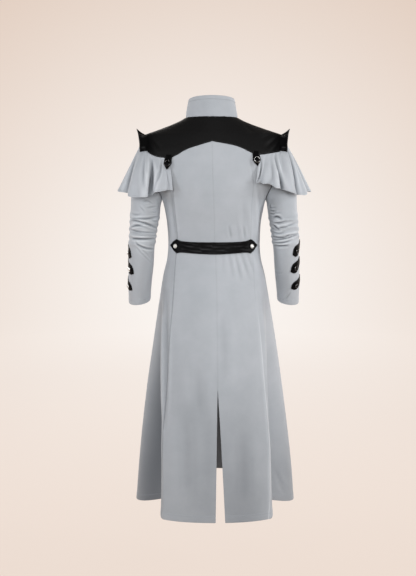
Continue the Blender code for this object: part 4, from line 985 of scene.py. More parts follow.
def seam_shade(distance, strength):
    """How dark a seam's line looks beside it: a narrow bell."""
    return strength * bell(distance, SEAM_LINE)


def stitch_groove(distance, at):
    """Line pressed in by stitches at a distance from an edge: a narrow bell."""
    return -GROOVE * bell(distance - at, GROOVE_HALF)


def hem_fold(distance, turn_up, thicker=HEM_THICKER, step=HEM_STEP):
    """How much thicker a piece is where it is turned up, by the distance from its edge."""
    return thicker * (1 - ease((distance - turn_up) / step))


def hem_relief(distance, turn_up=HEM_TURN):
    """Cloth turned up at a hem: a little thicker up to the stitch line, and rounded at its edge."""
    stitched = stitch_groove(distance, turn_up - HEM_STITCH_IN)
    return hem_fold(distance, turn_up) + stitched - HEM_EDGE_DROP * bell(distance, HEM_EDGE)


def hide_edge(distance, strength):
    """Turned and stitched edge of a hide piece: the stitches' groove, and the edge rounded off."""
    return stitch_groove(distance, HIDE_STITCH_IN) * strength - HIDE_EDGE_DROP * bell(distance, HIDE_EDGE)


def drape(x, z):
    """Slow unevenness of hanging cloth: long waves across and down, under a millimetre high."""
    slow = np.sin(x / 0.031 + 1.4 * np.sin(z / 0.19)) * np.sin(z / 0.083 + 0.7)
    slower = np.sin(x / 0.057 - z / 0.24 + 2.1)
    return DRAPE_SLOW * slow + DRAPE_SLOWER * slower


def lengths(points, wraps=False):
    """Distances run along the rows and down the columns of a grid of points, in metres."""
    grid = np.concatenate([points, points[:, :1]], 1) if wraps else points
    across = np.cumsum(np.linalg.norm(np.diff(grid, axis=1), axis=-1), 1)
    down = np.cumsum(np.linalg.norm(np.diff(grid, axis=0), axis=-1), 0)
    u = np.concatenate([np.zeros((grid.shape[0], 1)), across], 1)
    v = np.concatenate([np.zeros((1, grid.shape[1])), down], 0)
    return u, v


# Meshes


def tube_faces(index):
    """Faces of four corners between rows of point numbers, where each row closes into a ring."""
    right = np.roll(index, -1, 1)
    return np.stack([index[:-1], right[:-1], right[1:], index[1:]], -1).reshape(-1, 4)


def closed_volume(points, quads):
    """Six times the volume inside the faces, by their halves' triple products. Below 0 if inside out."""
    corner = points[quads]
    halves = [np.cross(corner[:, 1], corner[:, 2]), np.cross(corner[:, 2], corner[:, 3])]
    return sum(np.einsum("ij,ij->i", corner[:, 0], half).sum() for half in halves)


def add_values(mesh, name, domain, values):
    """Adds a number for each point or face of a mesh, for its material to read."""
    layer = mesh.attributes.new(name, "FLOAT", domain)
    layer.data.foreach_set("value", np.asarray(values, np.float32))


def link_object(name, data):
    made = bpy.data.objects.new(name, data)
    bpy.context.scene.collection.objects.link(made)
    return made


def link_piece(name, mesh, finish):
    """Object of a mesh with its material, smooth but for sharp edges, that stays with the coat's one body."""
    mesh.shade_smooth()
    mesh.set_sharp_from_angle(angle=SHARP_ANGLE)
    mesh.materials.append(finish)
    made = link_object(name, mesh)
    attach(made, "root")
    return made


def shell(name, outer, inner, finish, hollow, wraps=False):
    """Closed thin wall between two grids of points, with its rims, that stands for the node of its name.

    Its UV map is the cloth's own places in metres. reverse is 1 on the faces of the cloth's inside. hollow is
    the painted tone: above 0 it darkens its points, painted shade in creases and folds and a dark line beside
    seams, and below 0 it is a painted highlight that makes them paler.
    """
    rows, columns = outer.shape[:2]
    count = rows * columns
    hollow = np.clip(hollow * np.ones((rows, columns)), -1, 1)
    r, c = np.meshgrid(np.arange(rows - 1), np.arange(columns if wraps else columns - 1), indexing="ij")
    r = np.stack([r, r, r + 1, r + 1], -1).reshape(-1, 4)
    c = np.stack([c, c + 1, c + 1, c], -1).reshape(-1, 4)
    u, v = lengths(outer, wraps)
    skin = r * columns + c % columns
    quads = [skin, skin[:, ::-1] + count]
    places = np.stack([u[r, c], v[r, c]], -1)
    places = [places, places[:, ::-1]]
    index = np.arange(count).reshape(rows, columns)
    if wraps:
        rims = [np.append(rim, rim[0]) for rim in (index[0], index[-1][::-1])]
    else:
        edge = np.concatenate([index[0, :-1], index[:-1, -1], index[-1, :0:-1], index[:0:-1, 0]])
        rims = [np.append(edge, edge[0])]
    flat = np.stack([u[:, :columns].ravel(), v[:, :columns].ravel()], -1)
    for rim in rims:
        start, end = rim[:-1], rim[1:]
        quads.append(np.stack([end, start, start + count, end + count], -1))
        places.append(flat[np.stack([end, start, start, end], -1)])
    quads = np.concatenate(quads)
    places = np.concatenate(places)
    reverse = np.zeros(len(quads))
    reverse[len(skin) : 2 * len(skin)] = 1
    points = np.concatenate([outer.reshape(-1, 3), inner.reshape(-1, 3)])
    if closed_volume(points, quads) < 0:
        quads = quads[:, ::-1]
        places = places[:, ::-1]
    mesh = bpy.data.meshes.new(f"{name}_cloth")
    mesh.from_pydata(points, [], quads)
    mesh.uv_layers.new(name="cloth").uv.foreach_set("vector", places.astype(np.float32).ravel())
    add_values(mesh, "reverse", "FACE", reverse)
    add_values(mesh, "hollow", "POINT", np.concatenate([hollow.ravel(), np.zeros(count)]))
    made = link_piece(f"{name}_cloth", mesh, finish)
    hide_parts(name)
    return made


# A cut fills at least this share of the box round it
LEAST_AREA_SHARE = 0.31


def declare(outer, wraps=False):
    """Works out a sheet's widest row, longest column and flat area from its own face, and hands none of them
    on.
    """
    u, v = lengths(outer, wraps)
    width = float(u[:, -1].max())
    length = float(v[-1].max())
    face = np.concatenate([outer, outer[:, :1]], 1) if wraps else outer
    diagonals = (face[1:, 1:] - face[:-1, :-1], face[1:, :-1] - face[:-1, 1:])
    area = float(np.linalg.norm(np.cross(*diagonals), axis=-1).sum() / 2)
    area = min(max(area, LEAST_AREA_SHARE * width * length), width * length)


# Materials


def colour(hex_text):
    """Linear colour of an sRGB hex value."""
    values = [int(hex_text[i : i + 2], 16) / 255 for i in (0, 2, 4)]
    return (*[v / 12.92 if v <= 0.04045 else ((v + 0.055) / 1.055) ** 2.4 for v in values], 1.0)


def fill_inputs(tree, node, inputs):
    """Sets each input of a node to a value, or links it from (node, output)."""
    for key, value in inputs.items():
        if isinstance(value, tuple) and isinstance(value[0], bpy.types.Node):
            tree.links.new(value[0].outputs[value[1]], node.inputs[key])
        else:
            node.inputs[key].default_value = value


def add_node(tree, kind, inputs=None, settings=None):
    """Adds a node, sets its settings, and fills its inputs with values or links."""
    made = tree.nodes.new(kind)
    for key, value in (settings or {}).items():
        setattr(made, key, value)
    fill_inputs(tree, made, inputs or {})
    return made


def new_material(name):
    made = bpy.data.materials.new(name)
    made.use_nodes = True
    tree = made.node_tree
    return made, tree, tree.nodes["Principled BSDF"]


# Kinds of node and settings that come back often
COORDINATES = "ShaderNodeTexCoord"
NOISE = "ShaderNodeTexNoise"
MIX = "ShaderNodeMix"
MATH = "ShaderNodeMath"
RANGE = "ShaderNodeMapRange"
BUMP = "ShaderNodeBump"
VALUES = "ShaderNodeAttribute"
RGBA = {"data_type": "RGBA"}
MULTIPLY = {"operation": "MULTIPLY", "use_clamp": True}
MULTIPLY_ADD = {"operation": "MULTIPLY_ADD"}
HOLLOW = {"attribute_name": "hollow"}

# Threads of the twill are really 0.4 mm apart. They are drawn 1.3 mm apart, so that a close view shows them.
# A wave pattern of scale 1 repeats after the wave period.
TWILL_SPACING = 0.0013
WAVE_PERIOD = 0.31416
TWILL_ANGLE = math.radians(63)
FIBRE_SIZE = 0.0009
MOTTLE_SIZE = 0.085

# How much the nap and the ribs show in the twill's colour, and how far the painted shade in its creases and
# the painted highlight on its ridges change it
NAP_TONE = 0.30
RIB_TONE = 0.22
PAINTED_SHADE_SHARE = 0.90
PAINTED_HIGHLIGHT_SHARE = 0.70

# Hide: size of its grain, of the bends that make the grain uneven, and of its spots of deeper dye
HIDE_GRAIN = 0.0016
HIDE_BEND_SIZE = 0.02
HIDE_BEND = 0.012
HIDE_SPOT_SIZE = 0.0035
# Painted highlight on the hide's edges and ridges, and painted shade where it is shaded
HIDE_HIGHLIGHT = "5C5D60"
SHADED_HIDE = "040405"

# Polishing marks on nickel, its dark colour for tarnish and painted dark reflection, and the twist of sewing
# thread
POLISH_SIZE = 0.0016
DARKENED_PLATE = "101113"
TWIST_SIZE = 0.0006


def twill_wool(name, light, dark, back, crease, painted_highlight, roughness):
    """Smooth close twill: diagonal ribs, a fine nap and an uneven dye that let the light fall softly.

    Its reverse is duller and darker, partly the cloth's own back and partly painted shade inside the coat.
    Its creases and folds get painted shade, and its ridges a paler painted highlight.
    """
    made, tree, shader = new_material(name)
    cloth = add_node(tree, "ShaderNodeUVMap", settings={"uv_map": "cloth"})
    turned = add_node(tree, "ShaderNodeMapping", {"Vector": (cloth, "UV"), "Rotation": (0, 0, TWILL_ANGLE)})
    ribs = add_node(
        tree,
        "ShaderNodeTexWave",
        {
            "Vector": (turned, "Vector"), "Scale": WAVE_PERIOD / TWILL_SPACING,
            "Distortion": 0.6, "Detail": 1.0,
        },
        {"wave_type": "BANDS", "bands_direction": "X", "wave_profile": "SIN"},
    )
    spot = (add_node(tree, COORDINATES), "Object")
    nap = add_node(tree, NOISE, {"Vector": spot, "Scale": 1 / FIBRE_SIZE, "Detail": 3.0, "Roughness": 0.6})
    mottle_inputs = {"Vector": spot, "Scale": 1 / MOTTLE_SIZE, "Detail": 5.0, "Roughness": 0.62}
    mottle = add_node(tree, NOISE, mottle_inputs)
    uneven = {"Value": (mottle, "Fac"), "From Min": 0.3, "From Max": 0.7, "To Min": 0.0, "To Max": 0.75}
    tone = add_node(tree, RANGE, uneven)
    fleck = add_node(tree, MATH, {0: (nap, "Fac"), 1: NAP_TONE, 2: (tone, "Result")}, MULTIPLY_ADD)
    clamped = {**MULTIPLY_ADD, "use_clamp": True}
    ribbed = add_node(tree, MATH, {0: (ribs, "Fac"), 1: -RIB_TONE, 2: (fleck, "Value")}, clamped)
    dye = add_node(tree, MIX, {"Factor": (ribbed, "Value"), "A": colour(light), "B": colour(dark)}, RGBA)
    inside = add_node(tree, VALUES, settings={"attribute_name": "reverse"})
    # The reverse is darker, partly the cloth's own back and partly painted shade inside the coat
    face = add_node(tree, MIX, {"Factor": (inside, "Fac"), "A": (dye, "Result"), "B": colour(back)}, RGBA)
    hollow = (add_node(tree, VALUES, settings=HOLLOW), "Fac")
    # Above 0 the hollow attribute darkens towards the crease colour: painted shade in creases and folds, dark
    # seam lines
    deep = add_node(tree, MATH, {0: hollow, 1: PAINTED_SHADE_SHARE}, MULTIPLY)
    shade_paint_inputs = {"Factor": (deep, "Value"), "A": (face, "Result"), "B": colour(crease)}
    shade_painted = add_node(tree, MIX, shade_paint_inputs, RGBA)
    # Below 0 it pales towards the pale colour: painted highlight on ridges and seams, painted light on a
    # sleeve
    high = add_node(tree, MATH, {0: hollow, 1: -PAINTED_HIGHLIGHT_SHARE}, MULTIPLY)
    highlight_paint_inputs = {"Factor": (high, "Value"), "A": (shade_painted, "Result"), "B": colour(painted_highlight)}
    lighter_tone = add_node(tree, MIX, highlight_paint_inputs, RGBA)
    rib_bump = add_node(tree, BUMP, {"Height": (ribs, "Fac"), "Strength": 0.35, "Distance": 0.00018})
    bumps = {"Height": (nap, "Fac"), "Strength": 0.30, "Distance": 0.0002, "Normal": (rib_bump, "Normal")}
    nap_bump = add_node(tree, BUMP, bumps)
    spread = {"Value": (mottle, "Fac"), "To Min": roughness - 0.05, "To Max": roughness + 0.05}
    rough = add_node(tree, RANGE, spread)
    fill_inputs(tree, shader, {
        "Base Color": (lighter_tone, "Result"),
        "Normal": (nap_bump, "Normal"),
        "Roughness": (rough, "Result"),
        "Sheen Weight": 0.30,
        "Sheen Roughness": 0.45,
        "Sheen Tint": colour("E8ECF0"),
        "Specular IOR Level": 0.35,
    })
    return made


def coated_hide(name, deep, lighter_tone, gloss, shine):
    """Thin black hide with a satin coat: rounded grain and a soft gloss, paler on the grain's tops.

    It has a painted highlight on its edges and ridges, and painted shade where it is shaded: darker with less
    shine.
    """
    made, tree, shader = new_material(name)
    spot = (add_node(tree, COORDINATES), "Object")
    bent = add_node(tree, NOISE, {"Vector": spot, "Scale": 1 / HIDE_BEND_SIZE, "Detail": 2.0})
    shift_inputs = {"Factor": HIDE_BEND, "A": spot, "B": (bent, "Color")}
    shifted = add_node(tree, MIX, shift_inputs, {"data_type": "VECTOR"})
    grain = add_node(
        tree,
        "ShaderNodeTexVoronoi",
        {"Vector": (shifted, "Result"), "Scale": 1 / HIDE_GRAIN, "Smoothness": 0.6},
        {"feature": "SMOOTH_F1"},
    )
    spot_inputs = {"Vector": spot, "Scale": 1 / HIDE_SPOT_SIZE, "Detail": 4.0, "Roughness": 0.6}
    spots = add_node(tree, NOISE, spot_inputs)
    tone = add_node(tree, RANGE, {"Value": (spots, "Fac"), "From Min": 0.35, "From Max": 0.75})
    dye = add_node(tree, MIX, {"Factor": (tone, "Result"), "A": colour(deep), "B": colour(lighter_tone)}, RGBA)
    hollow = (add_node(tree, VALUES, settings=HOLLOW), "Fac")
    # Below 0 the hollow attribute gives a painted highlight, above 0 painted shade
    high = add_node(tree, MATH, {0: hollow, 1: -1.0}, MULTIPLY)
    hide_highlight_inputs = {"Factor": (high, "Value"), "A": (dye, "Result"), "B": colour(HIDE_HIGHLIGHT)}
    face = add_node(tree, MIX, hide_highlight_inputs, RGBA)
    low = add_node(tree, MATH, {0: hollow, 1: 1.0}, MULTIPLY)
    shaded_inputs = {"Factor": (low, "Value"), "A": (face, "Result"), "B": colour(SHADED_HIDE)}
    shaded = add_node(tree, MIX, shaded_inputs, RGBA)
    bump = add_node(tree, BUMP, {"Height": (grain, "Distance"), "Strength": 0.35, "Distance": 0.0003})
    rough = add_node(tree, RANGE, {"Value": (spots, "Fac"), "To Min": gloss, "To Max": gloss + 0.14})
    dimmed = add_node(tree, MATH, {0: (low, "Value"), 1: -0.8 * shine, 2: shine}, MULTIPLY_ADD)
    fill_inputs(tree, shader, {
        "Base Color": (shaded, "Result"),
        "Normal": (bump, "Normal"),
        "Roughness": (rough, "Result"),
        "Specular IOR Level": (dimmed, "Value"),
    })
    return made


def nickel_plate(name, bright, dull, gloss):
    """Nickel plate on a stamped button, with faint polishing marks, dark with tarnish and painted dark
    reflection.
    """
    made, tree, shader = new_material(name)
    spot = (add_node(tree, COORDINATES), "Object")
    marks = add_node(tree, NOISE, {"Vector": spot, "Scale": 1 / POLISH_SIZE, "Detail": 4.0, "Roughness": 0.7})
    tone = add_node(tree, MIX, {"Factor": (marks, "Fac"), "A": colour(bright), "B": colour(dull)}, RGBA)
    tarnish_and_reflection = (add_node(tree, VALUES, settings={"attribute_name": "tarnish_and_reflection"}), "Fac")
    clamped = {**MULTIPLY_ADD, "use_clamp": True}
    plate_darkening = add_node(tree, MATH, {0: (marks, "Fac"), 1: -0.5, 2: tarnish_and_reflection}, clamped)
    plate_inputs = {"Factor": (plate_darkening, "Value"), "A": (tone, "Result"), "B": colour(DARKENED_PLATE)}
    plate = add_node(tree, MIX, plate_inputs, RGBA)
    rough = add_node(tree, RANGE, {"Value": (marks, "Fac"), "To Min": gloss, "To Max": gloss + 0.16})
    plate_looks = {"Base Color": (plate, "Result"), "Roughness": (rough, "Result"), "Metallic": 1.0}
    fill_inputs(tree, shader, plate_looks)
    return made


def sewing_thread(name, light, dark):
    """Spun polyester thread: soft and round, with its twist as fine darker bands."""
    made, tree, shader = new_material(name)
    spot = (add_node(tree, COORDINATES), "Object")
    twist = add_node(tree, NOISE, {"Vector": spot, "Scale": 1 / TWIST_SIZE, "Detail": 2.0})
    tone = add_node(tree, MIX, {"Factor": (twist, "Fac"), "A": colour(light), "B": colour(dark)}, RGBA)
    fill_inputs(tree, shader, {"Base Color": (tone, "Result"), "Roughness": 0.6, "Sheen Weight": 0.2})
    return made


# Dye tones, the reverse (partly painted shade), painted shade in creases and folds, painted highlight,
# roughness
TWILL = twill_wool("grey_twill", "B2B7BE", "A6ACB3", "6E747B", "4E535A", "DDE2E8", 0.72)
HIDE = coated_hide("black_coated_hide", "09090A", "131314", 0.52, 0.14)
STRAP_LEATHER = coated_hide("black_strap_leather", "020203", "060607", 0.40, 0.06)
NICKEL = nickel_plate("satin_nickel", "F2F2F0", "DCDCD9", 0.34)
OLD_NICKEL = nickel_plate("old_nickel", "E2E2E0", "B0B0B0", 0.14)
GREY_THREAD = sewing_thread("grey_thread", "A2A8AE", "8C9299")
BLACK_THREAD = sewing_thread("black_thread", "1E1E20", "0E0E0F")

STITCH_RUNS = {"grey": [], "black": []}


def sew(kind, points, out):
    """Notes a run of stitches along a line of points on the cloth, with the cloth's way out at each."""
    STITCH_RUNS[kind].append((points, out))


def sew_edge(kind, outer, out, to_edge, inset):
    """Notes the stitch line a set distance in from a piece's lower edge."""
    row = np.argmin(np.abs(to_edge - inset), axis=0)
    columns = np.arange(outer.shape[1])
    sew(kind, outer[row, columns], out[row, columns])


# Panels of the body

# About how wide each panel is, for the spacing of its columns
BACK_WIDE = 0.13
SIDE_BACK_WIDE = 0.17
FRONT_WIDE = 0.20
YOKE_BACK_WIDE = 0.25
YOKE_FRONT_WIDE = 0.17
LAP_STITCH_ROW = 40


def plain_panel(turn, z, lift):
    """Panel of the coat without relief: its points, its ways out, and the distances along and down it."""
    turn = trimmed(turn, z)
    out = coat_normal(turn, z)
    level = unit(out * np.array([1, 1, 0]))
    plain = coat(turn, z) + level * np.asarray(lift)[..., None]
    return plain, out, *lengths(plain)


def panel(name, turn, z, creases, seams, shares, lift=0.0, painted_highlight=(0.0, 0.0)):
    """Body panel: the coat's surface between two seams, moved out by its relief, with a stitched hem.

    seams has how plainly the seam shows along the first and the last column, and painted_highlight how strong
    a painted highlight runs along it there on the skirt.
    """
    plain, out, u, v = plain_panel(turn, z, lift)
    x = plain[..., 0]
    creased = crease_relief(x, z, creases)
    # Painted shade in the creases' troughs and painted highlight on their ridges
    hollow = hollow_of(creased, BODY_TONE)
    relief = creased + drape(x + plain[..., 1], z)
    off_belt = np.abs(z - belt_middle_z(x)) - BELT_HALF_WIDTH
    on_belt = (1 - ease(off_belt / BELT_PRESS)) * (plain[..., 1] > 0) * (np.abs(x) < BELT_PRESS_SIDE)
    relief = relief * (1 - on_belt) + np.minimum(relief, 0.0) * on_belt
    for strength, pale, distance in zip(seams, painted_highlight, (u, u[:, -1:] - u)):
        relief = relief + seam_relief(distance, z, strength)
        # Each seam darkens in a line beside it, and on the skirt a painted highlight pales it
        tone = SEAM_TONE * strength - pale * ease((SEAM_HIGHLIGHT_TOP - z) / SEAM_HIGHLIGHT_REACH)
        hollow = hollow + seam_shade(distance, tone)
    # Painted shade inside the skirt's folds, growing towards the hem
    hollow = hollow + fold_tone(name, shares[None, :], z)
    to_hem = v[-1:] - v
    relief = relief + seam_relief(v, x) + hem_relief(to_hem)
    outer = plain + out * relief[..., None]
    thick = CLOTH + hem_fold(to_hem, HEM_TURN)
    made = shell(name, outer, outer - out * thick[..., None], TWILL, hollow)
    declare(outer)
    _, down = lengths(outer)
    sew_edge("grey", outer, out, down[-1:] - down, HEM_TURN - HEM_STITCH_IN)
    return outer, out


def belt_height(along):
    """Height of the belt's middle line by share of its length: it sags as a parabola."""
    return BELT_END_Z - BELT_SAG * (1 - ((along - 0.5) * 2) ** 2)


def belt_middle_z(x):
    """Height of the belt's middle line at a distance from the middle plane."""
    return belt_height((np.clip(x, *BELT_ENDS) - BELT_ENDS[0]) / BELT_LENGTH)


def middle_back(side, name):
    shares = shares_across(BACK_WIDE, CLOTH_STEP)
    z, _ = cut_rows(yoke_edge(shares * LOW_POINT_SHARE, side, False), CLOTH_STEP)
    first = middle_turn(side, z[:, 0])
    last = princess_turn(side, z[:, -1])
    turn = first[:, None] + (last - first)[:, None] * shares[None, :]
    seams = (MIDDLE_SEAM_SHOWS, SEAM_SHOWS[side])
    panel(name, turn, z, BACK_CREASES, seams, shares, painted_highlight=(0.0, SEAM_HIGHLIGHT[side]))


def side_back(side, name):
    shares = shares_across(SIDE_BACK_WIDE, CLOTH_STEP)
    edge_z = yoke_edge(LOW_POINT_SHARE + shares * (1 - LOW_POINT_SHARE), side, False)
    z, rows = cut_rows(edge_z, CLOTH_STEP)
    first = princess_turn(side, z[:, 0])
    last = side_seam(side, rows, False)
    turn = first[:, None] + (last - first)[:, None] * shares[None, :] ** SIDE_BACK_CURVE
    seams = (SEAM_SHOWS[side], SIDE_SEAM_SHOWS)
    panel(name, turn, z, BACK_CREASES, seams, shares, painted_highlight=(SEAM_HIGHLIGHT[side], 0.0))


def front_turns(side, first, z, shares):
    """Columns of a front from the side seam to past the middle, and the lift of each.

    The left front is lifted over a ramp, because it laps over the right one.
    """
    half_width = section("half_width", z)[:, None]
    last = side * (math.pi - np.arcsin(-LAP_WIDTH / half_width))
    turn = first[:, None] + (last - first[:, None]) * shares[None, :]
    if side < 0:
        return turn, np.zeros(turn.shape)
    from_middle = half_width * np.sin(turn)
    return turn, LAP_LIFT * ease((LAP_FLAT + LAP_RAMP - from_middle) / LAP_RAMP)


def front(side, name):
    shares = shares_across(FRONT_WIDE, FRONT_STEP)
    z, rows = cut_rows(yoke_edge(1 - shares, side, True), FRONT_STEP)
    turn, lift = front_turns(side, side_seam(side, rows, True), rows, shares)
    seams = (SIDE_SEAM_SHOWS, 0.0)
    outer, out = panel(name, turn, z, FRONT_CREASES, seams, shares, lift)
    if side > 0:
        u, _ = lengths(outer)
        column = int(np.argmin(np.abs((u[:, -1:] - u)[LAP_STITCH_ROW] - LAP_STITCH_IN)))
        sew("grey", outer[3:-3, column], out[3:-3, column])


YOKE_ANGLES = graded(0.0, CORNER_ANGLE, 0.028, [(CORNER_ANGLE, 0.05, 0.011)])
YOKE_TOP_HEIGHTS = graded(0.0, SHOULDER_Z, 0.0030, [(0.0, 0.003, FINE_STEP)])[:-1]
YOKE_TURN_UP = 0.006
YOKE_TURN_STEP = 0.003
YOKE_THICKER = 0.0003


def yoke_rows(edge_z):
    """Heights of a yoke's rows from the neck seam to its lower edge, a column for each edge height."""
    heights = armhole_height(YOKE_ANGLES)
    drop = (heights - SHOULDER_Z) / (YOKE_CORNER_Z - SHOULDER_Z)
    low = SHOULDER_Z + (edge_z - SHOULDER_Z)[None, :] * drop[:, None]
    low[-1] += SEAM_TOUCH
    top = np.repeat(YOKE_TOP_HEIGHTS[:, None], len(edge_z), 1)
    return np.concatenate([top, low]), np.concatenate([YOKE_TOP_HEIGHTS, heights])


def yoke_ends(rows, front):
    """Shoulder seam and then the armhole's edge, for each plain height."""
    return np.where(rows > SHOULDER_Z, math.pi / 2, armhole_turn(np.minimum(rows, SHOULDER_Z), front))


def yoke_back(name):
    low_point = (LOW_POINT_SHARE, 0.02, FINE_STEP / YOKE_BACK_WIDE)
    half = shares_across(YOKE_BACK_WIDE, 0.0035, [low_point])
    half[0] = 0.0
    z_left, rows = yoke_rows(yoke_edge(half, 1, False))
    z_right, _ = yoke_rows(yoke_edge(half, -1, False))
    z = np.concatenate([z_right[:, :0:-1], z_left], 1)
    shares = np.concatenate([-half[:0:-1], half])
    turn = shares[None, :] * yoke_ends(rows, False)[:, None]
    near_middle = np.maximum(0, 1 - np.abs(shares) / LOW_POINT_SHARE)
    turn = turn + middle_turn(1, z_left[:, 0])[:, None] * near_middle[None, :]
    yoke_panel(name, turn, z, creases=YOKE_CREASES, shade=YOKE_SHADE)


def yoke_panel(name, turn, z, lift=0.0, creases=(), shade=0.0):
    """Yoke panel: seams at its ends and neck, a turned and stitched lower edge, and soft diagonal creases.

    shade is how much darker it is beside the armholes.
    """
    plain, out, u, v = plain_panel(turn, z, lift)
    relief = YOKE_CREASE_MORE * crease_relief(plain[..., 0], z, creases)
    # Painted shade in the yoke's creases and painted highlight on their ridges
    hollow = hollow_of(relief, YOKE_TONE)
    for to_end in (u, u[:, -1:] - u):
        hollow = hollow + shade * bell(to_end, YOKE_SHADE_REACH) * (z < SHOULDER_Z)
        relief = relief + seam_relief(to_end, z)
    to_edge = v[-1:] - v
    relief = relief + seam_relief(v, plain[..., 0]) + hide_edge(to_edge, 0.8)
    relief = relief + hem_fold(to_edge, YOKE_TURN_UP, YOKE_THICKER, YOKE_TURN_STEP)
    outer = plain + out * relief[..., None]
    made = shell(name, outer, outer - out * CLOTH, HIDE, hollow)
    declare(outer)
    _, down = lengths(outer)
    sew_edge("black", outer, out, down[-1:] - down, HIDE_STITCH_IN)


def yoke_front(side, name):
    shares = shares_across(YOKE_FRONT_WIDE, 0.0045)
    z, rows = yoke_rows(yoke_edge(1 - shares, side, True))
    turn, lift = front_turns(side, side * yoke_ends(rows, True), rows, shares)
    yoke_panel(name, turn, z, lift)


# Sleeves


def arm_frame(reach):
    """Centre, up axis and half sizes of the sleeve's oval at a reach."""
    inner = np.stack([read(ARM, "in_x", reach), read(ARM, "in_z", reach)], -1)
    outer = np.stack([read(ARM, "out_x", reach), read(ARM, "out_z", reach)], -1)
    middle = (inner + outer) / 2
    centre = np.stack([middle[..., 0], read(ARM, "middle_y", reach), middle[..., 1]], -1)
    span = outer - inner
    size = np.linalg.norm(span, axis=-1)
    up = np.stack([span[..., 0] / size, np.zeros_like(size), span[..., 1] / size], -1)
    return centre, up, size / 2, read(ARM, "half_depth", reach)


def elbow_push(reach, clock):
    """Soft rings of spare cloth at the elbow, slanted round the arm, in a dip that they stand out of."""
    total = np.zeros(np.broadcast(reach, clock).shape)
    for at, half, depth, slant in ELBOW_FOLDS:
        near = (reach - at - slant * np.sin(clock)) / half
        total = total + depth * np.exp(-(near**2) * ELBOW_KEEN)
    (first, rise), (last, fall) = ELBOW_DIP_STARTS, ELBOW_DIP_ENDS
    return total - ELBOW_DIP * ease((reach - first) / rise) * (1 - ease((reach - last) / fall))


def forward_lean(reach):
    """Tilt of the ovals about the X axis as the arm bends ahead, in metres of drop for each metre back."""
    return FOREARM_LEAN * ease((reach - FOREARM_LEAN_STARTS) / FOREARM_LEAN_REACH)


def sleeve_points(reach, clock, folded=True):
    """Outer face of the wearer's left sleeve: an oval round the arm, swollen by the elbow's folds.

    The clock is 0 at the outer edge and grows to the back.
    """
    reach, clock = np.broadcast_arrays(np.asarray(reach, float), np.asarray(clock, float))
    centre, up, half, depth = arm_frame(reach)
    last, fall = STRAP_OVER_FOLDS_ENDS
    swell = elbow_push(reach, clock) if folded else STRAP_OVER_FOLDS * ease((last - reach) / fall)
    u = np.cos(clock) * (half + swell)
    v = np.sin(clock) * (depth + swell)
    point = centre + up * u[..., None]
    point[..., 1] += v
    point[..., 2] -= v * forward_lean(reach)
    return point


def sleeve_at(side, reach, index):
    """Sleeve's outer face by reach and place in the armhole, and the clock there.

    The first ring is the armhole itself, and its shape fades into even ovals down the arm.
    """
    reach, index = np.broadcast_arrays(np.asarray(reach, float), np.asarray(index, float))
    ring, _ = armhole_point(side, index)
    centre, up, half, depth = arm_frame(np.array(0.0))
    off = ring - centre
    own_clock = np.arctan2(off[..., 1] / depth, off @ up / half)
    even_clock = index * ROUND / ARMHOLE_COUNT
    own_clock = own_clock + ROUND * np.round((even_clock - own_clock) / ROUND)
    stray = ring - sleeve_points(np.zeros_like(own_clock), own_clock)
    fade = 1 - ease(reach / SLEEVE_EVEN_REACH)
    clock = even_clock * (1 - fade) + own_clock * fade
    outward = np.array([up[2], 0, -up[0]])
    points = sleeve_points(reach, clock) + stray * fade[..., None]
    return points + outward * (SEAM_GAP * 1.5 * fade)[..., None], clock


def tube_normals(points):
    """Ways out of a grid of points whose rows close into rings."""
    around = np.roll(points, -1, 1) - np.roll(points, 1, 1)
    along = np.gradient(points, axis=0)
    return -unit(np.cross(around, along))


def sleeve_crease_rows(side):
    """The sleeve's creases in metres round and along the arm, from their clocks and reaches."""
    rows = np.array(SLEEVE_CREASES[side], float)
    round_arm = np.radians(rows[:, 1:6:2]) * ARM_RADIUS
    rows[:, :6] = np.stack([round_arm, rows[:, 0:6:2] * METRES_PER_REACH], -1).reshape(-1, 6)
    return rows


# On the outer edge below the elbow the cuff tabs lie on even cloth: reach and clock, and over how much each
# starts
TABS_REACH = (0.50, 0.03)
TABS_CLOCK = (-2, 40, 12)
SLEEVE_SEAM_DIP = 0.0009
SLEEVE_SEAM_WIDTH = 0.002
SLEEVE_WAVE = 0.0004


def sleeve_relief(side, reach, clock, u, v):
    """Creases round the elbow, the seam under the arm, the turned cuff and slight slow waves.

    Also gives the sleeve's painted tone: painted shade in its creases, painted highlight on their ridges, and
    a band of painted light.
    """
    degrees = np.mod(np.degrees(clock) + 180, 360) - 180
    round_arm = np.radians(degrees) * ARM_RADIUS
    down_arm = reach * METRES_PER_REACH
    relief = crease_relief(round_arm, down_arm, sleeve_crease_rows(side), SLEEVE_KEEN) * SLEEVE_CREASE_MORE
    middle, spread, fade = TABS_CLOCK
    beside = 1 - ease((np.abs(degrees - middle) - spread) / fade)
    relief = relief * (1 - ease((reach - TABS_REACH[0]) / TABS_REACH[1]) * beside)
    # Painted light: a paler band round the sleeve
    middle, spread, pale = SLEEVE_PAINTED_LIGHT[side]
    hollow = hollow_of(relief, SLEEVE_TONE) - pale * bell(degrees - middle, spread)
    to_seam = np.abs(np.abs(degrees) - 180) / 180 * math.pi * UNDERARM_RADIUS
    relief = relief - SLEEVE_SEAM_DIP * bell(to_seam, SLEEVE_SEAM_WIDTH)
    relief = relief + seam_relief(v, u) + hem_relief(v[-1:] - v, CUFF_TURN)
    waves = np.sin(reach * 21 + 2 * np.sin(clock)) * np.sin(clock * 2 + side)
    return relief + SLEEVE_WAVE * waves, hollow


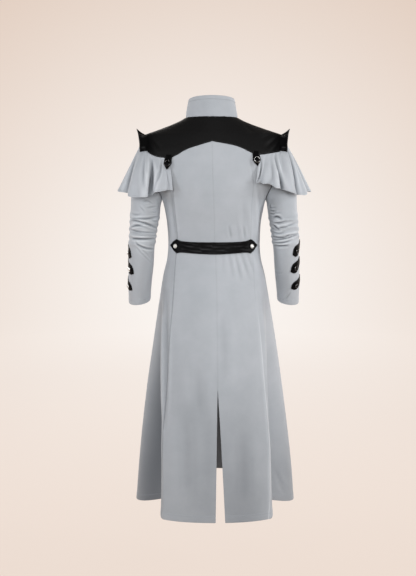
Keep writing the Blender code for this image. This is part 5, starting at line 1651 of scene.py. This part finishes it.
def sleeve(side, name):
    """Sleeve from the armhole to the cuff. At its head the wall's thickness turns to lie along the body's."""
    reach = graded(0, 1, SLEEVE_STEP, SLEEVE_BANDS)
    index = np.arange(SLEEVE_LINES) * ARMHOLE_COUNT / SLEEVE_LINES
    plain, clock = sleeve_at(side, reach[:, None], index[None, :])
    _, ring_normal = armhole_point(side, index)
    out = tube_normals(plain)
    alike = ease((out[0] * ring_normal).sum(-1, keepdims=True) / 0.4)
    first = unit(ring_normal * alike + out[0] * (1 - alike))
    near = np.exp(-reach / 0.01)[:, None, None]
    thick_way = unit(first[None] * near + out * (1 - near))
    u, v = lengths(plain, True)
    u, v = u[:, :-1], v[:, :-1]
    relief, hollow = sleeve_relief(side, reach[:, None], clock, u, v)
    outer = plain + out * relief[..., None]
    to_cuff = v[-1:] - v
    thick = CLOTH + hem_fold(to_cuff, CUFF_TURN)
    inner = mirrored(outer - thick_way * thick[..., None], side)
    out = mirrored(tube_normals(outer), side)
    outer = mirrored(outer, side)
    made = shell(name, outer, inner, TWILL, hollow, wraps=True)
    declare(outer, wraps=True)
    row = int(np.argmin(np.abs(to_cuff[:, 0] - (CUFF_TURN - HEM_STITCH_IN))))
    ring = np.append(np.arange(len(index)), 0)
    sew("grey", outer[row, ring], out[row, ring])


# Wings and capes

WING_WIDTH = 0.025
WING_FOOT = 0.0018
WING_GROOVE = 0.7
WING_EDGE_HIGHLIGHT = 0.45
WING_RIDGE_HIGHLIGHT = (0.22, 0.0009, 0.0004)


def ridge_highlight(relief, size, starts, spread):
    """Painted highlight on the ridges of hide: none up to a height, and the full size a spread above it."""
    return size * np.clip((relief - starts) / spread, 0, 1)


def wing(side, name):
    """Peaked wing on the top half of the armhole: it runs out level and rises towards its edge."""
    rows = table(WING, WING_COLUMNS)
    index = graded(WING_END_STEP, -WING_END_STEP, 0.085)
    step = np.abs(index)
    base, lift = armhole_point(side, index)
    base = base + lift * WING_STANDS_OFF + np.array([WING_OUT, 0, 0])
    share = graded(-WING_TUCK, 1, 0.06, WING_BANDS)[:, None]
    curve = np.maximum(share, 0) ** WING_CURVE
    x = base[:, 0] + read(rows, "reach", step) * share
    y = base[:, 1] + read(rows, "flare", step) * np.sign(index) * curve
    z = base[:, 2] + read(rows, "rise", step) * curve
    plain = np.stack([x, y, z], -1)
    upward = unit(np.cross(np.gradient(plain, axis=1), np.gradient(plain, axis=0)))
    upward = np.where((upward * lift[None]).sum(-1, keepdims=True) < 0, -upward, upward)
    _, v = lengths(plain)
    to_edge = v[-1:] - v
    gathers = WING_GATHER * np.sin(index / 0.21 + 1.6 * np.sin(index * 1.3))
    gathers = gathers * np.maximum(share * (1 - share) * 4, 0) ** 0.6
    gathers = gathers - WING_FOOT_PRESS * bell(share * WING_WIDTH, WING_FOOT)
    # Painted highlight on the wing's edge and on the ridges of its gathers
    painted_glint = -WING_EDGE_HIGHLIGHT * bell(to_edge, HIDE_EDGE) - ridge_highlight(gathers, *WING_RIDGE_HIGHLIGHT)
    bottom = mirrored(plain + upward * gathers[..., None], side)
    relief = gathers + hide_edge(to_edge, WING_GROOVE)
    top = mirrored(plain + upward * (relief + CLOTH)[..., None], side)
    made = shell(name, top, bottom, STRAP_LEATHER, painted_glint)
    declare(top)
    row = int(np.argmin(np.abs(to_edge[:, len(index) // 2] - HIDE_STITCH_IN)))
    sew("black", top[row], mirrored(upward[row], side))


def cape_top(side, share):
    """Top line of a cape in the left arm's frame: under the yoke's edge, then round the sleeve's head."""
    first, last = CAPE_CORNERS
    across = np.clip((share - first) / (last - first), 0, 1)
    index = CAPE_CORNER_INDEX * (1 - 2 * across)
    reach = CAPE_ARM_REACH * (1 - (2 * across - 1) ** 2)
    on_arm, _ = sleeve_at(side, reach, index)
    centre, _, _, _ = arm_frame(reach)
    _, normal = armhole_point(side, index)
    blend = (reach / CAPE_ARM_REACH)[:, None]
    away = unit(normal * (1 - blend) + unit(on_arm - centre) * blend)
    off = CAPE_STANDS_OFF + (CAPE_OVER_ARM - CAPE_STANDS_OFF) * np.sqrt(blend)
    round_arm = on_arm + away * (off + CAPE_CLOTH)
    front = share > last
    on_yoke = np.where(front, (1 - share) / (1 - last), share / first)
    on_yoke = LOW_POINT_SHARE + (1 - LOW_POINT_SHARE) * np.clip(on_yoke, 0, 1)
    front_turn = side * (math.pi - on_yoke * (math.pi - CORNER_TURN[True]))
    turn = np.where(front, front_turn, side * on_yoke * CORNER_TURN[False])
    z = np.where(front, yoke_edge(on_yoke, side, True), yoke_edge(on_yoke, side, False))
    under_yoke = mirrored(on_coat(turn, z, CAPE_STANDS_OFF + CAPE_CLOTH), side)
    on_sleeve = ((share >= first) & (share <= last))[:, None]
    points = np.where(on_sleeve, round_arm, under_yoke)
    points[:, 2] -= CAPE_TOP_DROP
    return points


def cape_waves(side, share):
    """Hollows of the hem by their place round the arm, each half a cosine wide."""
    total = np.zeros_like(share)
    for at, depth, half in CAPE_WAVES[side]:
        near = np.clip(np.abs(share - at) / half, 0, 1)
        total = total + depth * (1 + np.cos(math.pi * near)) / 2
    return total


def cape_face(side, share, down):
    """Outer face of a cape: a sheet bent through its top, halfway and hem lines, with waves."""
    top = cape_top(side, share)
    line = {key: read(CAPE_LINES, key, share) for key in CAPE_COLUMNS[1:]}
    middle = np.stack([line["mid_x"], line["mid_y"], line["mid_z"]], -1)
    hem = np.stack([line["hem_x"], line["hem_y"], line[f"hem_z_{WORD[side]}"]], -1)
    t = np.asarray(down)[:, None, None]
    sheet = top * (1 - t) * (1 - 2 * t) + middle * 4 * t * (1 - t) + hem * t * (2 * t - 1)
    along = np.gradient(hem, axis=0)
    away = unit(np.stack([along[:, 1], -along[:, 0], np.zeros(len(share))], -1))
    from_arm = hem - np.array([CAPE_MIDDLE_X, 0, 0])
    away = np.where((away * from_arm).sum(-1, keepdims=True) < 0, -away, away)
    grown = t**CAPE_WAVE_CURVE
    depth = cape_waves(side, share)[None, :, None] * grown
    sheet = sheet + away[None] * (CAPE_BULGE * grown - depth)
    sheet[..., 2] += depth[..., 0] * CAPE_WAVE_LIFT
    return sheet


def cape_crease_rows(side):
    """The cape's creases in metres, from their shares round the arm and down."""
    return np.array(CAPE_CREASES[side]) * np.array([CAPE_ROUND, CAPE_DEEP] * 3 + [1, 1])


def cape(side, name):
    """Flounced cape: its face with fine gathers at the top, creases, and a narrow stitched hem."""
    share = graded(0, 1, 0.0042, CAPE_BANDS_ROUND)
    down = graded(0, 1, 0.034, CAPE_BANDS_DOWN)
    plain = cape_face(side, share, down)
    out = unit(np.cross(np.gradient(plain, axis=1), np.gradient(plain, axis=0)))
    out = out * np.sign((out * (plain - np.array([CAPE_MIDDLE_X, 0, CAPE_MIDDLE_Z]))).sum())
    _, v = lengths(plain)
    to_hem = v[-1:] - v
    gathers = CAPE_GATHER * np.sin(share / 0.0065 + 2 * np.sin(share * 19))[None, :]
    gathers = gathers * np.exp(-v / CAPE_GATHER_DROP)
    round_arm = share[None, :] * CAPE_ROUND
    creased = crease_relief(round_arm, down[:, None] * CAPE_DEEP, cape_crease_rows(side), CAPE_KEEN)
    relief = gathers + hem_relief(to_hem, CAPE_TURN_UP) * 0.7 + creased
    thick = CAPE_CLOTH + hem_fold(to_hem, CAPE_TURN_UP, CAPE_HEM_THICKER)
    outer = plain + out * relief[..., None]
    inner = mirrored(outer - out * thick[..., None], side)
    outer = mirrored(outer, side)
    # Painted shade in the cape's creases and painted highlight on their ridges
    hollow = hollow_of(creased, CAPE_TONE, CAPE_HOLLOW_DEPTH)
    made = shell(name, outer, inner, TWILL, hollow)
    declare(outer)
    sew_edge("grey", outer, mirrored(out, side), to_hem, CAPE_STITCH_IN)


# Collar


def collar(name):
    """Stand collar on the neck seam, open at the front, with rounded front corners and a stitched edge.

    Its foot is tucked into the yoke's neck.
    """
    end = math.pi - COLLAR_FRONT_GAP
    turn = graded(-end, end, 0.036)
    foot = coat(turn, np.zeros_like(turn))
    level = [np.sin(turn) / NECK_HALF_WIDTH, np.cos(turn) / NECK_DEPTH, np.zeros_like(turn)]
    away = unit(np.stack(level, -1))
    to_end = np.minimum((end - np.abs(turn)) / COLLAR_CORNER, 1)
    height = COLLAR_HEIGHT - COLLAR_FRONT_DROP * (1 - np.cos(turn)) / 2
    height = height - COLLAR_CORNER_DROP * (1 - np.sqrt(np.clip(1 - (1 - to_end) ** 2, 0, 1)))
    share = graded(0, 1, 0.040, COLLAR_BANDS)[:, None, None]
    plain = foot[None] + np.array([0, 0, 1]) * share * height[None, :, None]
    plain = plain - away[None] * COLLAR_LEAN * share**COLLAR_LEAN_CURVE
    plain[..., 2] += SEAM_GAP * (1 + 2 * (1 - np.cos(turn)))[None]
    u, v = lengths(plain)
    plain[0, :, 2] -= COLLAR_TUCK
    to_top = v[-1:] - v
    to_stitches = to_top - COLLAR_STITCH_IN
    relief = stitch_groove(to_top, COLLAR_STITCH_IN) + hem_fold(to_top, *COLLAR_FACING)
    relief = relief - COLLAR_EDGE_DROP * bell(to_top, COLLAR_EDGE) + seam_relief(v, u) * 0.8
    relief = relief + COLLAR_WAVE * np.sin(turn * 5 + 0.6)[None] * np.sin(math.pi * share[..., 0])
    outer = plain + away[None] * relief[..., None]
    thick = COLLAR_CLOTH - COLLAR_INNER_ROUND * bell(to_top, COLLAR_EDGE)
    inner = plain - away[None] * thick[..., None]
    made = shell(name, outer, inner, TWILL, seam_shade(to_stitches, COLLAR_LINE_TONE))
    declare(outer)
    row = int(np.argmin(np.abs(to_stitches[:, len(turn) // 2])))
    sew("grey", outer[row, 2:-2], away[2:-2])


# Straps and buttons


def belt_point(along, offset):
    """Turn and height on the coat of a place on the belt, by share of its length and metres up."""
    x = BELT_ENDS[0] + BELT_LENGTH * along
    z = belt_height(along) + offset
    return np.arcsin(np.clip(x / section("half_width", z), -1, 1)), z


def strap_relief(along, across, half, creases=()):
    """Relief of a strap by metres along and across: lower at its edges, with a groove for the edge stitches.

    It has slight rumples and creases. Also gives its painted highlight, along the edges and on the creases'
    ridges.
    """
    to_side = half - np.abs(across)
    crown = -STRAP_EDGE_DROP * bell(to_side, STRAP_EDGE)
    groove = -STRAP_GROOVE * bell(to_side - STRAP_GROOVE_IN, STRAP_GROOVE_HALF)
    rumple = STRAP_RUMPLE * np.sin(along / 0.006 + 2 * np.sin(along / 0.023)) * np.cos(across / 0.009)
    creased = crease_relief(along, across, creases, STRAP_KEEN)
    # Painted highlight along the edges and the creases' ridges, uneven along the strap
    size, width = STRAP_EDGE_HIGHLIGHT
    painted_glint = -size * bell(to_side, width) - ridge_highlight(creased, *STRAP_RIDGE_HIGHLIGHT)
    return crown + groove + rumple + creased, painted_glint * (0.6 + 0.4 * np.sin(along / 0.011 + across / 0.004))


def strap_grid(outline, half_width, length, step, lines=13):
    """Shares along a strap, its half width at each, and the offsets across it, closer at its edges."""
    rows = np.array(outline)
    along = np.unique(np.concatenate([graded(0, 1, step / length), rows[:, 0]]))
    half = np.interp(along, rows[:, 0], rows[:, 1]) * half_width
    offset = half[:, None] * np.sin(np.linspace(-1, 1, lines) * math.pi / 2)[None, :]
    return np.broadcast_to(along[:, None], offset.shape), half[:, None], offset


def strap(name, outer, inner, out, painted_glint, first_row=1):
    """Strap of hide between its two faces, stitched along both sides."""
    made = shell(name, outer, inner, STRAP_LEATHER, painted_glint)
    declare(outer)
    for edge in (2, -3):
        sew("black", outer[first_row:-2, edge], out[first_row:-2, edge])


def belt(name):
    along, half, offset = strap_grid(BELT_OUTLINE, BELT_HALF_WIDTH, BELT_LENGTH, BELT_STEP, 17)
    turn, z = belt_point(along, offset)
    relief, painted_glint = strap_relief(along * BELT_LENGTH, offset, half, BELT_CREASES)
    inner = on_coat(turn, z, np.full(turn.shape, BELT_OFF))
    outer = on_coat(turn, z, BELT_OFF + STRAP_HIDE + relief)
    strap(name, outer, inner, coat_normal(turn, z), painted_glint, 2)


def cape_tab_frame(side):
    """Top of a cape tab, a little above the yoke's low point, its way across and its level way out."""
    share = CAPE_TAB_SHARE[side]
    turn = side * share * CORNER_TURN[False]
    z = yoke_edge(np.array(share), side, False) + CAPE_TAB_ON_YOKE[side]
    level = unit(coat_normal(turn, z) * np.array([1, 1, 0]))
    return coat(turn, z), np.array([level[1], -level[0], 0.0]), level


def cape_tab_spine(foot, level, along):
    """Middle line of a cape tab's back by share of its length: on the yoke, then down over the cape."""
    rows = np.array(CAPE_TAB_OFF)
    off = np.interp(along, rows[:, 0], rows[:, 1])
    return foot + np.array([0, 0, -CAPE_TAB_LENGTH]) * along[..., None] + level * off[..., None]


def cape_tab(side, name):
    foot, across, level = cape_tab_frame(side)
    along, half, offset = strap_grid(TAB_OUTLINE, CAPE_TAB_HALF_WIDTH, CAPE_TAB_LENGTH, CAPE_TAB_STEP)
    relief, painted_glint = strap_relief(along * CAPE_TAB_LENGTH, offset, half)
    inner = cape_tab_spine(foot, level, along) + across * offset[..., None]
    outer = inner + level * (STRAP_HIDE + relief)[..., None]
    strap(name, outer, inner, np.broadcast_to(level, outer.shape), painted_glint)


def cuff_tab_point(side, which, along, offset):
    """Clock and reach on the sleeve of a spot on a cuff tab."""
    tip = math.radians(CUFF_TAB_TIP_CLOCK[side][which])
    back = (1 - along) * CUFF_TAB_LENGTH
    around = back * math.cos(CUFF_TAB_SLANT) + offset * math.sin(CUFF_TAB_SLANT)
    up = back * math.sin(CUFF_TAB_SLANT) - offset * math.cos(CUFF_TAB_SLANT)
    reach = CUFF_TAB_REACH[side][which] - up / METRES_PER_REACH
    return tip - around / read(ARM, "half_depth", reach), reach


def sleeve_spot(clock, reach, off):
    """Point off the sleeve's plain oval, and the way out there."""
    point = sleeve_points(reach, clock, False)
    around = sleeve_points(reach, clock + CLOCK_STEP, False) - sleeve_points(reach, clock - CLOCK_STEP, False)
    along = sleeve_points(reach + REACH_STEP, clock, False) - sleeve_points(reach - REACH_STEP, clock, False)
    out = -unit(np.cross(around, along))
    centre, _, _, _ = arm_frame(reach)
    out = out * np.sign((out * (point - centre)).sum(-1, keepdims=True))
    return point + out * np.asarray(off)[..., None], out


def cuff_tab(side, which, name):
    along, half, offset = strap_grid(CUFF_TAB_OUTLINE, CUFF_TAB_HALF_WIDTH, CUFF_TAB_LENGTH, CUFF_TAB_STEP)
    clock, reach = cuff_tab_point(side, which, along, offset)
    relief, painted_glint = strap_relief(along * CUFF_TAB_LENGTH, offset, half, CUFF_TAB_CREASES)
    hug = CUFF_TAB_HUG * ease((1 - along) / CUFF_TAB_HUG_SHARE)
    inner, out = sleeve_spot(clock, reach, CUFF_TAB_OFF - hug)
    outer = inner + out * (CUFF_TAB_HIDE + relief)[..., None]
    outer, inner, out = [mirrored(points, side) for points in (outer, inner, out)]
    strap(name, outer, inner, out, painted_glint)


def button(name, centre, out, radius, finish=NICKEL, tarnish_and_reflection=0.0, rim=0.0):
    """Stamped button: its profile turned round its axis. The centre is the middle of its back.

    tarnish_and_reflection is how dark the plate is inside the rim, tarnish with painted dark reflection, and
    rim how dark it is on the rim, painted dark reflection.
    """
    out = unit(np.asarray(out, float))
    first = unit(np.cross(out, np.array([0.3, 0.2, 1.0])))
    second = np.cross(out, first)
    angle = np.linspace(0, ROUND, BUTTON_SIDES, endpoint=False)[:, None]
    circle = first * np.cos(angle) + second * np.sin(angle)
    rings = np.array(BUTTON_PROFILE[1:-1])
    share, height = rings[:, 0], rings[:, 1]
    points = centre + circle[None] * share[:, None, None] * radius + out * height[:, None, None]
    points = np.concatenate([points.reshape(-1, 3), [centre, centre + out * BUTTON_PROFILE[-1][1]]])
    index = np.arange(len(rings) * BUTTON_SIDES).reshape(-1, BUTTON_SIDES)
    right = np.roll(index, -1, 1)
    middles = np.repeat([[index.size], [index.size + 1]], BUTTON_SIDES, 1)
    fans = [np.stack([middles[0], right[0], index[0]], -1), np.stack([middles[1], index[-1], right[-1]], -1)]
    mesh = bpy.data.meshes.new(name)
    mesh.from_pydata(points, [], tube_faces(index).tolist() + np.concatenate(fans).tolist())
    in_hollow = np.repeat((share < BUTTON_INSIDE_RIM) & (height > BUTTON_FACE_Z), BUTTON_SIDES)
    plate_darkening = np.append(np.where(in_hollow, tarnish_and_reflection, rim), (rim, tarnish_and_reflection * DOME_DARKENING))
    add_values(mesh, "tarnish_and_reflection", "POINT", plate_darkening)
    made = link_piece(f"{name}_metal", mesh, finish)
    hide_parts(name)


def cape_tab_button(side):
    """Button near a cape tab's tip, square to the tab's slope there."""
    foot, _, level = cape_tab_frame(side)
    spine = cape_tab_spine(foot, level, np.array([TAB_BUTTON_SHARE, TAB_BUTTON_SHARE + 0.1]))
    fall = unit(spine[1] - spine[0])
    out = unit(level - fall * (fall @ level))
    centre = spine[0] + out * (STRAP_HIDE + SEAM_GAP)
    name = f"cape_tab_button_{WORD[side]}"
    button(name, centre, out, CAPE_BUTTON_RADIUS, OLD_NICKEL, OLD_FACE_DARKENING, CAPE_RIM_PAINTED_REFLECTION[side])


def buttons():
    off = BELT_OFF + STRAP_HIDE + SEAM_GAP
    for share, word in ((1 - BELT_BUTTON_SHARE, "left"), (BELT_BUTTON_SHARE, "right")):
        turn, z = belt_point(np.array(share), np.array(0.0))
        button(f"belt_button_{word}", on_coat(turn, z, off), coat_normal(turn, z), BUTTON_RADIUS)
    for side, word in WORD.items():
        cape_tab_button(side)
        # The right cuff buttons are darkened with tarnish and painted dark reflection; the left ones stay
        # bright
        finish, tarnish_and_reflection, rim = (NICKEL, 0.0, 0.0) if side > 0 else (OLD_NICKEL, OLD_FACE_DARKENING, CUFF_RIM_PAINTED_REFLECTION)
        for which in range(3):
            clock, reach = cuff_tab_point(side, which, np.array(CUFF_BUTTON_SHARE), np.array(0.0))
            centre, out = sleeve_spot(clock, reach, CUFF_TAB_OFF + STRAP_HIDE + SEAM_GAP)
            name = f"cuff_button_{word}_{which + 1}"
            button(name, mirrored(centre, side), mirrored(out, side), BUTTON_RADIUS, finish, tarnish_and_reflection, rim)
    turn = np.array(math.pi)
    for i, (height, stands_off) in enumerate(FRONT_BUTTONS):
        z = np.array(height)
        centre = on_coat(turn, z, LAP_LIFT + stands_off)
        button(f"front_button_{i + 1}", centre, coat_normal(turn, z), FRONT_BUTTON_RADIUS)


STITCH_SIDES = 6
STITCH_THICKNESS = (0.45, 1.0, 1.0, 0.45)
STITCH_BOW = 0.8
STITCH_SUNK = 0.45
STITCH_SLOPE = 0.001


def on_line(at, run, values):
    """Values along a line, read at distances run along it."""
    return np.stack([np.interp(at, run, values[:, axis]) for axis in range(3)], -1)


def stitches(name, runs, finish):
    """Every stitch of one thread in one mesh: short bowed rods, set at even steps along each line."""
    thin = np.array(STITCH_THICKNESS) * STITCH_RADIUS
    angle = np.arange(STITCH_SIDES) * ROUND / STITCH_SIDES
    t = np.linspace(-1, 1, len(thin))
    bow = (1 - t**2) * STITCH_RADIUS * STITCH_BOW - STITCH_RADIUS * STITCH_SUNK
    index = np.arange(len(thin) * STITCH_SIDES).reshape(-1, STITCH_SIDES)
    caps = [index[0, [0, 3, 2, 1]], index[0, [0, 5, 4, 3]], index[-1, [0, 1, 2, 3]], index[-1, [0, 3, 4, 5]]]
    skin = np.concatenate([tube_faces(index), caps])
    points = []
    faces = []
    base = 0
    for line, out in runs:
        run = np.concatenate([[0], np.cumsum(np.linalg.norm(np.diff(line, axis=0), axis=-1))])
        at = np.arange(STITCH_PITCH / 2, run[-1], STITCH_PITCH)
        if not len(at):
            continue
        along = unit(on_line(at + STITCH_SLOPE, run, line) - on_line(at - STITCH_SLOPE, run, line))
        up = on_line(at, run, out)
        up = unit(up - along * (up * along).sum(-1, keepdims=True))
        across = np.cross(along, up)
        along, up, across = along[:, None, None], up[:, None, None], across[:, None, None]
        turned = across * np.cos(angle)[None, None, :, None] + up * np.sin(angle)[None, None, :, None]
        half = (t * STITCH_LENGTH / 2)[None, :, None, None]
        spine = on_line(at, run, line)[:, None, None] + along * half + up * bow[None, :, None, None]
        rods = spine + turned * thin[None, :, None, None]
        points.append(rods.reshape(-1, 3))
        faces.append((skin[None] + (np.arange(len(at)) * index.size)[:, None, None]).reshape(-1, 4) + base)
        base += len(points[-1])
    points = np.concatenate(points)
    quads = np.concatenate(faces)
    mesh = bpy.data.meshes.new(name)
    mesh.from_pydata(points, [], quads if closed_volume(points, quads) > 0 else quads[:, ::-1])
    link_piece(name, mesh, finish)


# The coat

for side, word in WORD.items():
    middle_back(side, f"back_{word}")
    side_back(side, f"side_back_{word}")
    front(side, f"front_{word}")
    yoke_front(side, f"yoke_front_{word}")
    sleeve(side, f"sleeve_{word}")
    wing(side, f"wing_{word}")
    cape(side, f"cape_{word}")
    cape_tab(side, f"cape_tab_{word}")
    for which in range(3):
        cuff_tab(side, which, f"cuff_tab_{word}_{which + 1}")
yoke_back("yoke_back")
collar("collar")
belt("back_belt")
buttons()
stitches("stitches_grey", STITCH_RUNS["grey"], GREY_THREAD)
stitches("stitches_black", STITCH_RUNS["black"], BLACK_THREAD)


# Studio

FLOOR_Z = -1.52
STAGE_RADIUS = 6.5
STAGE_HEIGHT = 9.0
GLOW_PLACE = (0.0, -8.5, -1.2)
GLOW_REACH = 9.0
GLOW_SQUASH = 0.36
GLOW_ENDS = (0.15, 1.2)
STAGE_SWEEP = 2.0
STAGE_SIDES = 96

# Lights: place, the point that it faces, width, height, watts and tint
LIGHTS = {
    "key": ((0.0, 3.2, 0.20), (0, 0, -0.25), 3.4, 1.0, 74, "FFFEFC"),
    "key_right": ((-2.4, 2.4, -0.20), (0, 0, -0.35), 0.8, 1.2, 10, "FFFFFF"),
    "side": ((-1.9, 0.5, -0.05), (-0.15, 0, -0.35), 0.4, 0.8, 17, "FFFFFF"),
    "fill": ((1.9, 0.9, 0.05), (0.2, 0, -0.35), 0.5, 0.9, 14, "FAFCFF"),
    "top": ((-0.2, 1.2, 2.3), (0, 0, -0.3), 1.0, 1.0, 5, "FFFFFF"),
    "rim_right": ((-1.8, -1.5, 0.1), (-0.2, 0, -0.35), 0.5, 1.0, 18, "FFFFFF"),
    "rim_left": ((1.8, -1.5, 0.1), (0.2, 0, -0.35), 0.5, 1.0, 14, "FFFFFF"),
    "front_fill": ((0.6, -3.2, 0.7), (0, 0, -0.5), 2.0, 2.0, 30, "FFFFFF"),
}
AIR = ("F4EBE3", 0.30)

# Camera on the photo's line of sight: level with the chest, 3.5 m behind the coat, tipped down
CAMERA_PLACE = (0.0195, 3.5, -0.268)
CAMERA_TIP = math.radians(4.74)
LENS = 66.3
FILM_WIDTH = 36.0


def studio_paper(name, centre, edge, shade):
    """Matt paper that glows as if lit from behind: palest in its middle, warmer and dimmer outwards."""
    made, tree, shader = new_material(name)
    spot = (add_node(tree, COORDINATES), "Object")
    squash = GLOW_SQUASH / GLOW_REACH
    near = add_node(tree, "ShaderNodeMapping", {
        "Vector": spot,
        "Location": (0, -GLOW_PLACE[1] * squash, -GLOW_PLACE[2] / GLOW_REACH),
        "Scale": (1 / GLOW_REACH, squash, 1 / GLOW_REACH),
    })
    spot_inputs = {"Vector": (near, "Vector")}
    glow = add_node(tree, "ShaderNodeTexGradient", spot_inputs, {"gradient_type": "SPHERICAL"})
    middle = add_node(tree, RANGE, {"Value": (glow, "Fac"), "From Min": 0.55, "From Max": 1.0})
    around = add_node(tree, RANGE, {"Value": (glow, "Fac"), "From Min": 0.05, "From Max": 0.55})
    outer = add_node(tree, MIX, {"Factor": (around, "Result"), "A": colour(shade), "B": colour(edge)}, RGBA)
    light_inputs = {"Factor": (middle, "Result"), "A": (outer, "Result"), "B": colour(centre)}
    light = add_node(tree, MIX, light_inputs, RGBA)
    place = add_node(tree, "ShaderNodeSeparateXYZ", {"Vector": spot})
    starts, ends = GLOW_ENDS
    ahead = add_node(tree, RANGE, {"Value": (place, "Y"), "From Min": starts, "From Max": ends})
    fade_inputs = {"Factor": (ahead, "Result"), "A": (light, "Result"), "B": colour(shade)}
    faded = add_node(tree, MIX, fade_inputs, RGBA)
    fill_inputs(tree, shader, {
        "Emission Color": (faded, "Result"),
        "Emission Strength": 1.0,
        "Base Color": colour("3A3734"),
        "Roughness": 0.95,
        "Specular IOR Level": 0.1,
    })
    return made


def stage():
    """Round floor that sweeps up into a wall: level, then a quarter circle, then upright."""
    bend = np.linspace(0, math.pi / 2, 13)[1:]
    flat = np.linspace(0.001, STAGE_RADIUS, 6)
    wall = STAGE_RADIUS + STAGE_SWEEP
    radius = np.concatenate([flat, STAGE_RADIUS + STAGE_SWEEP * np.sin(bend), [wall]])
    height = np.concatenate([np.zeros(len(flat)), STAGE_SWEEP * (1 - np.cos(bend)), [STAGE_HEIGHT]]) + FLOOR_Z
    angle = np.linspace(0, ROUND, STAGE_SIDES, endpoint=False)
    across = radius[:, None] * np.cos(angle)[None, :]
    along = radius[:, None] * np.sin(angle)[None, :]
    points = np.stack([across, along, np.repeat(height[:, None], STAGE_SIDES, 1)], -1)
    quads = tube_faces(np.arange(across.size).reshape(across.shape))[:, ::-1]
    mesh = bpy.data.meshes.new("studio_floor")
    mesh.from_pydata(points.reshape(-1, 3), [], quads)
    mesh.shade_smooth()
    mesh.materials.append(studio_paper("pale_paper", "FCF9F6", "DFCBBD", "5A534E"))
    link_object("studio_floor", mesh)


def aim(made, place, target):
    """Places an object so that it faces a point, upright."""
    made.location = place
    made.rotation_euler = (Vector(target) - Vector(place)).to_track_quat("-Z", "Y").to_euler()


def area_light(name, place, target, width, height, watts, tint):
    """Soft rectangular light that faces a point."""
    light = bpy.data.lights.new(name, "AREA")
    light.shape = "RECTANGLE"
    light.size = width
    light.size_y = height
    light.energy = watts
    light.color = colour(tint)[:3]
    made = link_object(name, light)
    made.visible_camera = False
    aim(made, place, target)


def studio_lights():
    for name, values in LIGHTS.items():
        area_light(name, *values)
    world = bpy.data.worlds.new("studio")
    world.use_nodes = True
    tint, strength = AIR
    air = {"Color": colour(tint), "Strength": strength}
    fill_inputs(world.node_tree, world.node_tree.nodes["Background"], air)
    bpy.context.scene.world = world


def camera():
    data = bpy.data.cameras.new("camera")
    data.lens = LENS
    data.sensor_width = FILM_WIDTH
    data.sensor_fit = "AUTO"
    made = link_object("camera", data)
    x, y, z = CAMERA_PLACE
    aim(made, CAMERA_PLACE, (x, 0.0, z - y * math.tan(CAMERA_TIP)))
    bpy.context.scene.camera = made


stage()
studio_lights()
camera()
bpy.context.scene.view_settings.view_transform = "Standard"
